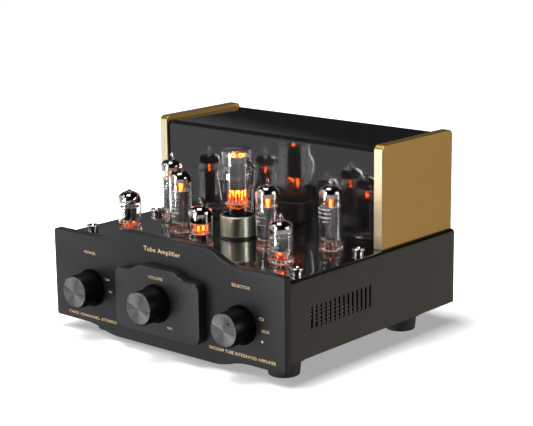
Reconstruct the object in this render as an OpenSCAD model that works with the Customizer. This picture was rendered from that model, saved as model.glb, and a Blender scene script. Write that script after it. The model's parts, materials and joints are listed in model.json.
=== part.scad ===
// Tube amplifier: two channels, four power tubes, three preamp tubes and a
// rectifier on a black steel chassis, with a thick shaped faceplate and a
// transformer cover held between two end plates.
// Lengths are millimetres. x runs to the right, y to the back, z up.
// The parts are drawn with y = 0 on the front of the faceplate and z = 0 on
// the floor, and seat() moves them to the middle of the whole object.

/* [Faceplate] */
// Width of the faceplate
face_w = 290; // [286:1:300]
// Thickness of the faceplate
face_t = 8; // [7:0.5:10]
// Height of its lower edge at the ends
face_low = 11.6; // [9:0.1:13]
// Height of its upper edge at the ends
face_high = 97.2; // [95:0.1:100]
// Rise of the upper edge to its crown
crown_rise = 11.7; // [8:0.1:14]
// Drop of the lower edge to its belly
belly_drop = 7.1; // [4:0.1:8]
// Radius of its corners
face_r = 3; // [1:0.5:5]

/* [Volume plate] */
// Width of the raised plate
plate_w = 106; // [100:1:112]
// Thickness of the raised plate
plate_t = 9; // [6:0.5:12]
// Height of its lower edge
plate_low = 19.8; // [18:0.1:22]
// Height of its upper edge at the ends
plate_high = 76.8; // [74:0.1:78]
// Rise of its upper edge to its crown
plate_rise = 6.5; // [4:0.1:8]

/* [Knobs] */
// Diameter of the knobs
knob_d = 31.4; // [28:0.1:33]
// Diameter of the skirt at the foot of a knob
skirt_d = 35.6; // [34:0.1:38]
// Length of a knob
knob_l = 22.5; // [20:0.5:25]
// Distance of the outer knobs from the middle
knob_x = 94.5; // [90:0.5:98]
// Height of the outer knobs
knob_z = 46.5; // [44:0.1:50]
// Height of the volume knob
volume_z = 50.3; // [46:0.1:54]

/* [Chassis] */
// Width of the chassis
chassis_w = 288; // [284:1:290]
// Distance from the faceplate's front to the back of the chassis
chassis_back = 252; // [250:1:256]
// Height of the deck
deck_z = 91; // [90:0.5:93]
// Height of the chassis's lower edge
chassis_low = 18.5; // [18:0.1:20]
// Thickness of the sheet steel
sheet = 1.5; // [1.2:0.1:2]
// Number of vent slots in each side
vents = 14; // [8:1:15]

/* [Transformer cover] */
// Height of the end plates above the deck
end_h = 96.4; // [94:0.1:100]
// Distance of the end plates' outer faces from the middle
end_x = 140; // [138:0.5:142]
// Thickness of the end plates
end_t = 9.5; // [8:0.5:10]
// Height of the cover above the deck
cover_h = 92.5; // [90:0.5:93]

/* [Tubes] */
// Diameter of the nine-pin tubes
tube_d = 22.2; // [21:0.1:22.4]
// Height of a preamp tube above the deck
preamp_h = 46; // [43:0.5:50]
// Height of a power tube above the deck
power_h = 67; // [64:0.5:71]
// Height of the rectifier above the deck
rectifier_h = 86; // [82:0.5:90]
// Diameter of the rectifier's metal base
sleeve_d = 34; // [33:0.5:35]
// Widest diameter of the rectifier's bulb
bulb_d = 39.5; // [38:0.5:41]

/* [Rear] */
// Reach of the speaker posts behind the chassis
post_l = 24; // [22:1:28]

/* [Hidden] */
$fn = 48;

// Clearances: between pieces that turn or slide, and between loose ones
run_gap = 0.05;
gap = 0.3;

// The whole object's box
nose = plate_t + gap + knob_l;
whole_back = chassis_back + post_l;
mid_y = (whole_back - nose) / 2;

// Chassis
side_x = chassis_w / 2;
front_wall = face_t;
bend_r = 3.5;
flange_w = 12;
screw_r = 1.5;
vent_pitch = 6.35;
vent_w = 2.6;
vent_h = 20.9;
vent_y = 36.6;
vent_z = 54;
cover_t = 1.2;
bottom_inset = 4;
deck_under = deck_z - sheet;
rear_y = chassis_back - sheet;

// Faceplate outline: where its edge waves begin and end
crown_in = 46;
crown_out = 92;
belly_in = 60;
belly_out = 104;
plate_crown_in = 17;
plate_crown_out = 37;
plate_r = 8.5;

// Controls behind the knobs
shaft_r = 3;
bushing_r = 4.4;
nut_af = 12;
nut_t = 2.3;
nut_pocket_r = 9;
nut_pocket_t = 4;
shaft_hole_r = 3.7;
skirt_t = 2;
pointer_r = 9;
knob_bore = 15;
shaft_in = 6;

// Feet
foot_left_x = -98;
foot_right_x = 118.7;
foot_front_y = 28.6;
foot_rear_y = 200;
foot_r = 14.1;
foot_top_r = 15.6;
foot_h = chassis_low - cover_t;
foot_bore_r = 5.5;
foot_floor = 5;
foot_hole_r = 2.1;

// Cage posts
post_x = 128.6;
post_front_y = 35.1;
post_rear_y = 121.6;
post_r = 5.8;
post_h = 5;
post_bore_r = 2;
post_bore_l = 4.5;

// Transformer cover
end_y0 = 141.7;
end_y1 = 252.4;
end_r = 5.5;
cover_y0 = 144.3;
cover_r = 5;
core_y = 198;

// Tubes: [x, y] of each, and the top of the sockets above the deck
front_x = 95.5;
front_y = 53.5;
centre_y = 51.5;
outer_x = 100.5;
outer_y = 117.1;
inner_x = 54.8;
inner_y = 82.5;
rectifier_y = 102.8;
NOVAL = [[-front_x, front_y], [0, centre_y], [front_x, front_y],
  [-outer_x, outer_y], [-inner_x, inner_y], [inner_x, inner_y], [outer_x, outer_y]];
socket_rise = 0.3;
tube_r = tube_d / 2;
glass_t = 0.9;
pin_circle_r = 5.95;
pin_r = 0.5;
pin_l = 6.5;
pin_hole_r = 0.65;
socket_r = 11;
socket_deep = 10;
socket_ear_r = 14.3;
octal_rise = 1.2;
octal_ring_r = 17.6;
octal_r = 14;
octal_circle_r = 8.7;
octal_pin_r = 1.17;
octal_pin_l = 11;
octal_hole_r = 1.4;
key_r = 3.9;
key_l = 13;
sleeve_h = 20.2;
sleeve_t = 1.2;
bulb_neck_r = 13.6;
bulb_seat_r = sleeve_d / 2 - sleeve_t - gap;
bulb_top_r = 15;

// Boards under the deck
board_z = deck_z - 18;
board_t = 1.6;
board_x = 112;
board_y0 = 36;
board_y1 = 138;

// Rear connectors
jack_x = 94;
jack_pitch = 18;
jack_z = 46;
jack_r = 4.15;
jack_l = 9.5;
jack_bore_r = 1.65;
speaker_x = [-52, -28, 18, 42];
speaker_z = 56;
stud_r = 3.2;
plug_r = 2.05;
plug_l = 18;
cap_r = 7;
cap_l = 14;
cap_off = 5.5;
inlet_x = 102;
inlet_z = 54;
inlet_w = 31;
inlet_h = 38;
recess_w = 24.6;
recess_h = 17;
recess_l = 15;
drawer_w = 22;
drawer_h = 8.4;
drawer_l = 22;

// ---------------------------------------------------------------- helpers

// Moves a piece from the faceplate's frame to the object's own
module seat() {
  translate([0, -mid_y, 0]) children();
}

// Stands an outline drawn in x and z upright, from y to y + t
module upright(y, t) {
  translate([0, y + t, 0]) rotate([90, 0, 0]) linear_extrude(t) children();
}

// Extrudes an outline drawn in y and z along x, from x to x + t
module crosswise(x, t) {
  translate([x, 0, 0]) rotate([90, 0, 90]) linear_extrude(t) children();
}

// A cylinder along y, from y to y + l
module rod_y(x, y, z, r, l, sides = 48) {
  translate([x, y, z]) rotate([-90, 0, 0]) cylinder(r = r, h = l, $fn = sides);
}

// Points along an arc, from angle a0 to a1
function arc(x, z, r, a0, a1, steps = 8) =
  [for (i = [0 : steps]) let (a = a0 + (a1 - a0) * i / steps) [x + r * cos(a), z + r * sin(a)]];
function reversed(points) = [for (i = [len(points) - 1 : -1 : 0]) points[i]];

// Edge wave from x_out inwards: two equal arcs that climb by rise, then flat from x_in
function wave(x_in, x_out, rise) =
  let (run = x_out - x_in, r = (run * run + rise * rise) / (4 * rise), a = 2 * atan(rise / run))
  concat(arc(x_out, r, r, 270, 270 - a), arc(x_in, rise - r, r, 90 - a + a / 8, 90, 7));

// Right half of a plate's outline from its lower edge to its upper edge.
// crown and belly are [x_in, x_out, rise]; a flat lower edge has no belly.
function plate_half(w, z0, z1, r, crown, belly) = concat(
  [for (p = reversed(belly == undef ? [] : wave(belly[0], belly[1], belly[2]))) [p[0], z0 - p[1]]],
  arc(w / 2 - r, z0 + r, r, -90, 0), arc(w / 2 - r, z1 - r, r, 0, 90),
  [for (p = wave(crown[0], crown[1], crown[2])) [p[0], z1 + p[1]]]);

// A plate's outline, the same on both sides of the middle
module plate_outline(w, z0, z1, r, crown, belly) {
  half = plate_half(w, z0, z1, r, crown, belly);
  polygon(concat(half, [for (p = reversed(half)) [-p[0], p[1]]]));
}

// A rectangle from corner to corner with round corners
module round_rect(x0, z0, x1, z1, r) {
  translate([x0 + r, z0]) square([x1 - x0 - 2 * r, z1 - z0]);
  translate([x0, z0 + r]) square([x1 - x0, z1 - z0 - 2 * r]);
  for (x = [x0 + r, x1 - r])
    for (z = [z0 + r, z1 - r])
      translate([x, z]) circle(r);
}

// A slot with round ends along the second axis
module slot(l, w) {
  square([w, l - w], center = true);
  for (s = [-1, 1])
    translate([0, s * (l - w) / 2]) circle(w / 2, $fn = 24);
}

// Places a child at every nine-pin socket, on the deck
module at_noval() {
  for (p = NOVAL)
    translate([p[0], p[1], deck_z]) children();
}

// Angles of the nine pins, which leave one gap of two steps
function noval_angle(i) = 36 * i + 36;

// Places a child at each screw of a four-cornered pattern
module corners(x, y) {
  for (sx = [-1, 1])
    for (sy = [-1, 1])
      translate([sx * x, sy * y, 0]) children();
}

// ------------------------------------------------------------ front panel

module control_holes(y, t) {
  rod_y(-knob_x, y, knob_z, shaft_hole_r, t);
  rod_y(knob_x, y, knob_z, shaft_hole_r, t);
  rod_y(0, y, volume_z, shaft_hole_r, t);
}

// Thick shaped plate with shaft holes and pockets for the control nuts
module faceplate() {
  color("#3d3e43") seat() difference() {
    upright(0, face_t) plate_outline(face_w, face_low, face_high, face_r,
      [crown_in, crown_out, crown_rise], [belly_in, belly_out, belly_drop]);
    control_holes(-1, face_t + 2);
    for (p = [[-knob_x, knob_z], [knob_x, knob_z], [0, volume_z]])
      rod_y(p[0], face_t - nut_pocket_t, p[1], nut_pocket_r, nut_pocket_t + 1);
  }
}

// Raised plate that carries the volume knob
module volume_plate() {
  color("#45464a") seat() difference() {
    upright(-plate_t, plate_t) plate_outline(plate_w, plate_low, plate_high, plate_r,
      [plate_crown_in, plate_crown_out, plate_rise], undef);
    rod_y(0, -plate_t - 1, volume_z, shaft_hole_r, plate_t + 2);
  }
}

// Turned knob with a skirt, a shaft bore and, if an angle is given, a pointer dimple
module knob(x, z, panel_y, pointer_angle = undef) {
  y0 = panel_y - gap;
  color("#2b2b2d") seat() difference() {
    translate([x, y0, z]) rotate([90, 0, 0]) rotate_extrude($fn = 72)
      polygon([[0, 0], [skirt_d / 2, 0], [skirt_d / 2, skirt_t - 0.4],
        [skirt_d / 2 - 0.4, skirt_t], [knob_d / 2, skirt_t],
        [knob_d / 2, knob_l - 0.8], [knob_d / 2 - 0.8, knob_l], [0, knob_l]]);
    rod_y(x, y0 - knob_bore, z, shaft_r + 0.02, knob_bore + 1);
    if (pointer_angle != undef)
      translate([x, y0, z]) rotate([0, -pointer_angle, 0])
        rod_y(pointer_r, -knob_l - 1, 0, 0.9, 1.8, 24);
  }
}

module power_knob() {
  knob(-knob_x, knob_z, 0);
}

module volume_knob() {
  knob(0, volume_z, -plate_t);
}

module selector_knob() {
  knob(knob_x, knob_z, 0, 40);
}

// Round shaft from the control to the bottom of the knob's bore
module shaft(x, z, panel_y) {
  y0 = panel_y - gap - knob_bore;
  color("silver") seat()
    rod_y(x, y0, z, shaft_r, front_wall + sheet + shaft_in - y0);
}

module power_shaft() {
  shaft(-knob_x, knob_z, 0);
}

module volume_shaft() {
  shaft(0, volume_z, -plate_t);
}

module selector_shaft() {
  shaft(knob_x, knob_z, 0);
}

// Threaded bushing and bore that every control shares
module bushing(x, z) {
  rod_y(x, front_wall - nut_t - 0.6, z, bushing_r, nut_t + 0.6 + sheet + 0.5);
}

module shaft_bore(x, z) {
  rod_y(x, 0, z, shaft_r + run_gap, front_wall + sheet + shaft_in + gap);
}

// Solder tags in a row under a control
module tags(x, y, z, count) {
  for (i = [0 : count - 1])
    translate([x + (i - (count - 1) / 2) * 5 - 1, y, z - 5]) cube([2, 0.6, 6]);
}

// Rotary mains switch
module power_switch() {
  color("#55504a") seat() difference() {
    union() {
      bushing(-knob_x, knob_z);
      rod_y(-knob_x, front_wall + sheet, knob_z, 13, 16);
      tags(-knob_x, front_wall + sheet + 10, knob_z - 12.5, 4);
    }
    shaft_bore(-knob_x, knob_z);
  }
}

// Twin-gang volume control
module volume_control() {
  y0 = front_wall + sheet;
  color("#4a5a48") seat() difference() {
    union() {
      bushing(0, volume_z);
      translate([-13.5, y0, volume_z - 13]) cube([27, 9, 25]);
      translate([-12.5, y0 + 9, volume_z - 12]) cube([25, 2, 23]);
      translate([-13.5, y0 + 11, volume_z - 13]) cube([27, 9, 25]);
      tags(0, y0 + 4, volume_z - 12.5, 3);
      tags(0, y0 + 15, volume_z - 12.5, 3);
    }
    shaft_bore(0, volume_z);
  }
}

// Rotary source switch with two wafers
module selector_switch() {
  y0 = front_wall + sheet;
  color("#8a6a3e") seat() difference() {
    union() {
      bushing(knob_x, knob_z);
      rod_y(knob_x, y0, knob_z, 14, 8);
      rod_y(knob_x, y0 + 8, knob_z, 5, 10);
      rod_y(knob_x, y0 + 12, knob_z, 15, 1.6);
      rod_y(knob_x, y0 + 18, knob_z, 15, 1.6);
    }
    shaft_bore(knob_x, knob_z);
  }
}

// Hexagon nuts that clamp the controls to the chassis's front wall
module panel_nuts() {
  color("silver") seat()
    for (p = [[-knob_x, knob_z], [knob_x, knob_z], [0, volume_z]])
      difference() {
        rod_y(p[0], front_wall - nut_t, p[1], nut_af / sqrt(3), nut_t, 6);
        rod_y(p[0], front_wall - nut_t - 1, p[1], bushing_r + 0.02, nut_t + 2);
      }
}

// ---------------------------------------------------------------- chassis

// Outline of the folded sheet in x and z, grown inwards by d
module chassis_outline(d) {
  r = bend_r - d;
  x = side_x - d;
  top = deck_z - d;
  translate([-x, chassis_low + d]) square([2 * x, top - r - chassis_low - d]);
  translate([-x + r, chassis_low + d]) square([2 * x - 2 * r, top - chassis_low - d]);
  for (s = [-1, 1])
    translate([s * (x - r), top - r]) circle(r);
}

// Folded chassis: deck, sides with vents, front wall and lower flanges
module chassis_shell() {
  color("#151413") seat() difference() {
    union() {
      upright(front_wall, rear_y - front_wall) difference() {
        chassis_outline(0);
        chassis_outline(sheet);
        translate([-side_x + flange_w, chassis_low - 1])
          square([chassis_w - 2 * flange_w, sheet + 2]);
      }
      upright(rear_y, sheet) difference() {
        chassis_outline(0);
        chassis_outline(sheet);
        translate([-side_x + sheet, chassis_low - 1])
          square([chassis_w - 2 * sheet, sheet + 2]);
      }
      upright(front_wall, sheet) chassis_outline(0);
    }
    for (i = [0 : vents - 1])
      crosswise(-side_x - 1, chassis_w + 2)
        translate([vent_y + i * vent_pitch, vent_z]) slot(vent_h, vent_w);
    for (p = [[-knob_x, knob_z], [knob_x, knob_z], [0, volume_z]])
      rod_y(p[0], front_wall - 1, p[1], bushing_r + 0.1, sheet + 2);
    deck_holes();
    translate([0, (foot_front_y + foot_rear_y) / 2, 0])
      corners(side_x - flange_w / 2, 85)
        translate([0, 0, chassis_low - 1]) cylinder(r = screw_r, h = sheet + 2);
  }
}

// Holes in the deck for sockets, posts, transformer bolts, leads and screws
module deck_holes() {
  depth = sheet + 2;
  translate([0, 0, -sheet - 1]) {
    at_noval() cylinder(r = socket_r + 0.2, h = depth);
    at_noval() for (s = [-1, 1])
      translate([s * socket_ear_r, 0, 0]) cylinder(r = screw_r + 0.1, h = depth);
    translate([0, rectifier_y, deck_z]) cylinder(r = octal_r + 0.2, h = depth);
    translate([0, rectifier_y, deck_z]) for (s = [-1, 1])
      translate([s * 19.5, 0, 0]) cylinder(r = screw_r + 0.1, h = depth);
    translate([0, (post_front_y + post_rear_y) / 2, deck_z])
      corners(post_x, (post_rear_y - post_front_y) / 2) cylinder(r = screw_r + 0.1, h = depth);
    translate([0, core_y, deck_z]) transformer_feet() cylinder(r = 2.2, h = depth);
    for (x = [-85, 0, 85])
      translate([x, 153, deck_z]) cylinder(r = 5, h = depth);
    for (p = board_corners())
      translate([p[0], p[1], deck_z]) cylinder(r = screw_r + 0.1, h = depth);
  }
}

// Back wall, set between the chassis sides, with cut-outs for the connectors
module rear_panel() {
  x = side_x - sheet;
  color("#161514") seat() difference() {
    upright(rear_y, sheet) round_rect(-x + 0.05, chassis_low, x - 0.05,
      deck_under - 0.05, bend_r - sheet);
    for (x = speaker_x)
      rod_y(x, rear_y - 1, speaker_z, stud_r + 1, sheet + 2);
    for (i = [0, 1])
      for (j = [0, 1])
        rod_y(-jack_x - i * jack_pitch, rear_y - 1, jack_z + j * jack_pitch, jack_r, sheet + 2);
    translate([inlet_x - inlet_w / 2 + 1.5, rear_y - 1, inlet_z - inlet_h / 2 + 1.5])
      cube([inlet_w - 3, sheet + 2, inlet_h - 3]);
  }
}

// Flat lower cover with two fields of vent slots
module bottom_cover() {
  x = side_x - bottom_inset;
  y0 = front_wall + 3;
  y1 = chassis_back - 3;
  color("#1b1a19") seat() difference() {
    translate([-x, y0, chassis_low - cover_t]) cube([2 * x, y1 - y0, cover_t]);
    for (s = [-1, 1])
      for (i = [-4 : 4])
        translate([s * 55 + i * 8, 150, chassis_low - cover_t - 1])
          linear_extrude(cover_t + 2) slot(70, 3.2);
    translate([0, 0, chassis_low - cover_t - 1]) {
      at_feet() cylinder(r = foot_hole_r, h = cover_t + 2);
      translate([0, (foot_front_y + foot_rear_y) / 2, 0])
        corners(side_x - flange_w / 2, 85) cylinder(r = screw_r, h = cover_t + 2);
    }
  }
}

// Children at each foot; the left pair stands further in than the right
module at_feet() {
  for (x = [foot_left_x, foot_right_x])
    for (y = [foot_front_y, foot_rear_y])
      translate([x, y, 0]) children();
}

// Tapered rubber foot with a recess for its screw
module foot(x, y) {
  color("#1d1c1b") seat() translate([x, y, 0]) difference() {
    rotate_extrude() polygon([[0, 0], [foot_r - 1, 0], [foot_r, 1],
      [foot_top_r, foot_h - 1.5], [foot_top_r - 0.6, foot_h], [0, foot_h]]);
    translate([0, 0, -1]) cylinder(r = foot_bore_r, h = foot_h - foot_floor + 1);
    translate([0, 0, -1]) cylinder(r = foot_hole_r, h = foot_h + 2);
  }
}

module foot_front_left() {
  foot(foot_left_x, foot_front_y);
}

module foot_front_right() {
  foot(foot_right_x, foot_front_y);
}

module foot_rear_left() {
  foot(foot_left_x, foot_rear_y);
}

module foot_rear_right() {
  foot(foot_right_x, foot_rear_y);
}

// A screw whose head sits under z = 0, with its shank going up
module screw_up(r, head_r, head_h, l) {
  translate([0, 0, -head_h]) cylinder(r = head_r, h = head_h);
  cylinder(r = r, h = l);
}

// Screws and nuts of the feet and of the lower cover
module chassis_screws() {
  foot_l = foot_floor + cover_t + 6;
  color("silver") seat() {
    at_feet() {
      translate([0, 0, foot_h - foot_floor]) screw_up(foot_hole_r - 0.1, 4, 2.6, foot_l);
      translate([0, 0, chassis_low]) difference() {
        cylinder(r = 4, h = 3, $fn = 6);
        translate([0, 0, -1]) cylinder(r = foot_hole_r - 0.08, h = 5);
      }
    }
    translate([0, (foot_front_y + foot_rear_y) / 2, 0]) corners(side_x - flange_w / 2, 85)
      translate([0, 0, chassis_low - cover_t]) screw_up(screw_r - 0.02, 2.8, 1.6, 6);
  }
}

// Polished posts on the deck that take the pins of a tube cage
module cage_posts() {
  color("gainsboro") seat()
    translate([0, (post_front_y + post_rear_y) / 2, deck_z])
      corners(post_x, (post_rear_y - post_front_y) / 2) difference() {
        union() {
          rotate_extrude() polygon([[0, 0], [post_r - 0.8, 0], [post_r - 0.8, 1.6],
            [post_r, 1.6], [post_r, post_h - 0.5], [post_r - 0.5, post_h], [0, post_h]]);
          translate([0, 0, -sheet - 4]) cylinder(r = screw_r, h = sheet + 4);
        }
        translate([0, 0, post_h - post_bore_l]) cylinder(r = post_bore_r, h = post_bore_l + 1);
      }
}

// ------------------------------------------------------- transformer block

// Folded cover: front, rounded top and back, with a flange on the deck
module transformer_cover() {
  top = deck_z + cover_h;
  x = end_x - end_t;
  color("#171616") seat() difference() {
    crosswise(-x, 2 * x) difference() {
      cover_outline(0, top);
      cover_outline(cover_t, top - cover_t);
      translate([cover_y0 + 8, deck_z - 1]) square([chassis_back - cover_y0 - 16, cover_t + 2]);
    }
    for (i = [-9 : 9])
      upright(chassis_back - cover_t - 1, cover_t + 2)
        translate([i * 12, deck_z + 62]) slot(28, 3);
  }
}

module cover_outline(d, top) {
  r = cover_r - d;
  y0 = cover_y0 + d;
  y1 = chassis_back - d;
  z0 = deck_z + d;
  translate([y0, z0]) square([y1 - y0, top - r - z0]);
  translate([y0 + r, z0]) square([y1 - y0 - 2 * r, top - z0]);
  for (y = [y0 + r, y1 - r])
    translate([y, top - r]) circle(r);
}

// Thick end plate with round upper corners
module end_plate(side) {
  color("#b0905c") seat()
    crosswise(side > 0 ? end_x - end_t : -end_x, end_t) {
      top = deck_z + end_h;
      translate([end_y0, deck_z]) square([end_y1 - end_y0, end_h - end_r]);
      translate([end_y0 + end_r, deck_z]) square([end_y1 - end_y0 - 2 * end_r, end_h]);
      for (y = [end_y0 + end_r, end_y1 - end_r])
        translate([y, top - end_r]) circle(end_r);
    }
}

module end_plate_left() {
  end_plate(-1);
}

module end_plate_right() {
  end_plate(1);
}

// Sizes of the two kinds of transformer: [leg, stack, height of the core above the deck]
MAINS = [16, 40, 17];
OUTPUT = [12.6, 30, 15];
output_x = 86;

// Laminated core around (0, 0), with two windows beside its middle leg
module core(t) {
  leg = t[0];
  translate([0, 0, t[2]]) linear_extrude(t[1]) difference() {
    square([5 * leg, 6 * leg], center = true);
    for (s = [-1, 1])
      translate([0, s * 1.5 * leg]) square([3 * leg, leg], center = true);
    corners(2 * leg, 2.5 * leg) circle(2.2);
  }
}

// Winding around the middle leg
module coil(t) {
  leg = t[0];
  wrap = 0.86 * leg;
  translate([0, 0, t[2]]) difference() {
    translate([-1.46 * leg, -leg - wrap, -wrap])
      cube([2.92 * leg, 2 * leg + 2 * wrap, t[1] + 2 * wrap]);
    translate([-2 * leg, -leg - 0.1, -0.1]) cube([4 * leg, 2 * leg + 0.2, t[1] + 0.2]);
  }
}

// Places a child at each foot bolt of the three transformers
module transformer_feet() {
  corners(2 * MAINS[0], 2.5 * MAINS[0]) children();
  for (s = [-1, 1])
    translate([s * output_x, 0, 0]) corners(2 * OUTPUT[0], 2.5 * OUTPUT[0]) children();
}

module mains_transformer_core() {
  color("#6b6661") seat() translate([0, core_y, deck_z]) core(MAINS);
}

module mains_transformer_coil() {
  color("#c9a25a") seat() translate([0, core_y, deck_z]) coil(MAINS);
}

module output_transformer_cores() {
  color("#6b6661") seat()
    for (s = [-1, 1])
      translate([s * output_x, core_y, deck_z]) core(OUTPUT);
}

module output_transformer_coils() {
  color("#c9a25a") seat()
    for (s = [-1, 1])
      translate([s * output_x, core_y, deck_z]) coil(OUTPUT);
}

// Bolt through a core and the deck, with a spacer under the core
module transformer_bolt(t) {
  difference() {
    cylinder(r = 4.5, h = t[2]);
    translate([0, 0, -1]) cylinder(r = 2.1, h = t[2] + 2);
  }
  translate([0, 0, -sheet - 5]) cylinder(r = 2, h = t[1] + t[2] + sheet + 5);
  translate([0, 0, t[1] + t[2]]) cylinder(r = 3.8, h = 3, $fn = 6);
}

module transformer_bolts() {
  color("silver") seat() translate([0, core_y, deck_z]) {
    corners(2 * MAINS[0], 2.5 * MAINS[0]) transformer_bolt(MAINS);
    for (s = [-1, 1])
      translate([s * output_x, 0, 0])
        corners(2 * OUTPUT[0], 2.5 * OUTPUT[0]) transformer_bolt(OUTPUT);
  }
}

// ------------------------------------------------------------------ tubes

// Half outline of a nine-pin bulb of height h: flat base, dome and drawn tip
function dome(r, z, rise, steps) =
  [for (i = [0 : steps]) [r * cos(90 * i / steps), z + rise * sin(90 * i / steps)]];
function bulb_points(r, h, shoulder, rise) = concat([[0, 0], [r - 1, 0], [r, 1]],
  [for (p = dome(r, h - shoulder, rise, 6)) if (p[0] > 1.9) p],
  [[1.5, h - shoulder + rise + 1], [0.8, h - 1.5], [0.2, h], [0, h]]);

module noval_glass(p, total_h) {
  h = total_h - socket_rise;
  color("lightblue", 0.4) seat() translate([p[0], p[1], deck_z + socket_rise])
    difference() {
      rotate_extrude() polygon(bulb_points(tube_r, h, 15, 8.5));
      rotate_extrude() polygon(concat([[0, 3], [tube_r - 2, 3], [tube_r - glass_t, 4.5]],
        [for (q = dome(tube_r - glass_t, h - 15, 7.6, 6)) if (q[0] > 1) q], [[0, h - 7.2]]));
    }
}

// Nine pins, and inside the glass two mica discs with the anodes between them
module noval_cage(p, total_h, anode_r, anode_low, anode_high) {
  h = total_h - socket_rise;
  color("dimgray") seat() translate([p[0], p[1], deck_z + socket_rise]) {
    for (i = [0 : 8])
      rotate([0, 0, noval_angle(i)])
        translate([pin_circle_r, 0, -pin_l]) cylinder(r = pin_r, h = pin_l, $fn = 16);
    for (s = [-1, 1])
      translate([s * 5, 0, 3]) cylinder(r = 0.6, h = anode_low - 3, $fn = 16);
    for (z = [anode_low, anode_high])
      translate([0, 0, z]) cylinder(r = tube_r - 1.6, h = 0.5);
    translate([0, 0, anode_low + 0.5])
      cylinder(r = anode_r, h = anode_high - anode_low - 0.5);
    translate([0, 0, anode_high + 0.5]) cylinder(r = 0.5, h = h - 14 - anode_high, $fn = 16);
    translate([0, 0, h - 13.5]) cylinder(r = 4, h = 1);
  }
}

module preamp_cage(p) {
  noval_cage(p, preamp_h, 6.5, 11, 24);
}

module power_cage(p) {
  noval_cage(p, power_h, 7, 10, 40);
}

module preamp_tube_left() {
  noval_glass(NOVAL[0], preamp_h);
}

module preamp_tube_centre() {
  noval_glass(NOVAL[1], preamp_h);
}

module preamp_tube_right() {
  noval_glass(NOVAL[2], preamp_h);
}

module preamp_cage_left() {
  preamp_cage(NOVAL[0]);
}

module preamp_cage_centre() {
  preamp_cage(NOVAL[1]);
}

module preamp_cage_right() {
  preamp_cage(NOVAL[2]);
}

module power_tube_left_outer() {
  noval_glass(NOVAL[3], power_h);
}

module power_tube_left_inner() {
  noval_glass(NOVAL[4], power_h);
}

module power_tube_right_inner() {
  noval_glass(NOVAL[5], power_h);
}

module power_tube_right_outer() {
  noval_glass(NOVAL[6], power_h);
}

module power_cage_left_outer() {
  power_cage(NOVAL[3]);
}

module power_cage_left_inner() {
  power_cage(NOVAL[4]);
}

module power_cage_right_inner() {
  power_cage(NOVAL[5]);
}

module power_cage_right_outer() {
  power_cage(NOVAL[6]);
}

// Shouldered bulb of the rectifier, which starts inside its base
bulb_z = octal_rise + sleeve_h - 8;
function rectifier_points(d) = let (top = rectifier_h - bulb_z - d)
  concat([[0, d], [bulb_neck_r - d, d], [bulb_neck_r - d, 1.5], [bulb_seat_r - d, 5],
    [bulb_seat_r - d, 8.4], [bulb_seat_r + 0.8 - d, 14], [bulb_d / 2 - 2.3 - d, 31],
    [bulb_d / 2 - 1.1 - d, 38], [bulb_d / 2 - 0.2 - d, 43], [bulb_d / 2 - d, 46],
    [bulb_d / 2 - 0.5 - d, 49.5], [bulb_d / 2 - 2.3 - d, 53], [bulb_top_r + 0.6 - d, 56.5],
    [bulb_top_r - d, 59.5]],
    [for (q = dome(bulb_top_r - d, top - 4.8, 4.8, 6)) q]);

module rectifier_bulb() {
  color("lightblue", 0.4) seat() translate([0, rectifier_y, deck_z + bulb_z]) difference() {
    rotate_extrude() polygon(rectifier_points(0));
    rotate_extrude() polygon(rectifier_points(1.1));
  }
}

// Support rods, mica discs and two anode boxes inside the rectifier
module rectifier_cage() {
  color("dimgray") seat() translate([0, rectifier_y, deck_z + bulb_z]) {
    for (s = [-1, 1]) {
      translate([s * 6.2, 0, 1.1]) cylinder(r = 0.8, h = 63, $fn = 16);
      translate([s * 4, 0, 31.6]) translate([-3.2, -7, 0]) cube([6.4, 14, 32]);
    }
    for (z = [19.3, 63.6])
      translate([0, 0, z]) cylinder(r = 12, h = 0.8);
  }
}

// Metal sleeve, bakelite bottom, eight pins and the keyed spigot
module rectifier_base() {
  r = sleeve_d / 2;
  color("#a39a86") seat() translate([0, rectifier_y, deck_z + octal_rise]) {
    difference() {
      rotate_extrude() polygon([[0, 0], [r - 0.6, 0], [r, 0.6], [r, sleeve_h - 0.6],
        [r - 0.6, sleeve_h], [0, sleeve_h]]);
      translate([0, 0, 4]) cylinder(r = bulb_neck_r - 1.6, h = sleeve_h);
      translate([0, 0, sleeve_h - 8]) cylinder(r = r - sleeve_t, h = 9);
    }
    for (i = [0 : 7])
      rotate([0, 0, 45 * i + 22.5]) translate([octal_circle_r, 0, -octal_pin_l])
        cylinder(r = octal_pin_r, h = octal_pin_l, $fn = 24);
    translate([0, 0, -key_l]) cylinder(r = key_r, h = key_l);
    translate([-0.8, 0, -key_l]) cube([1.6, key_r + 0.8, key_l]);
  }
}

// Ceramic nine-pin sockets, let into the deck from below
module tube_sockets() {
  color("#e8e2d2") seat() at_noval() difference() {
    union() {
      translate([0, 0, -socket_deep]) cylinder(r = socket_r, h = socket_deep + socket_rise);
      translate([0, 0, -sheet - 1.2]) {
        cylinder(r = socket_r + 1, h = 1.2);
        for (s = [-1, 1])
          translate([s * socket_ear_r, 0, 0]) cylinder(r = 3, h = 1.2);
        translate([-socket_ear_r, -3, 0]) cube([2 * socket_ear_r, 6, 1.2]);
      }
    }
    translate([0, 0, -socket_deep - 1]) cylinder(r = 3, h = socket_deep + 3);
    for (i = [0 : 8])
      rotate([0, 0, noval_angle(i)])
        translate([pin_circle_r, 0, -socket_deep - 1])
          cylinder(r = pin_hole_r, h = socket_deep + 3, $fn = 16);
    for (s = [-1, 1])
      translate([s * socket_ear_r, 0, -sheet - 2]) cylinder(r = screw_r, h = 3);
  }
}

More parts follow.
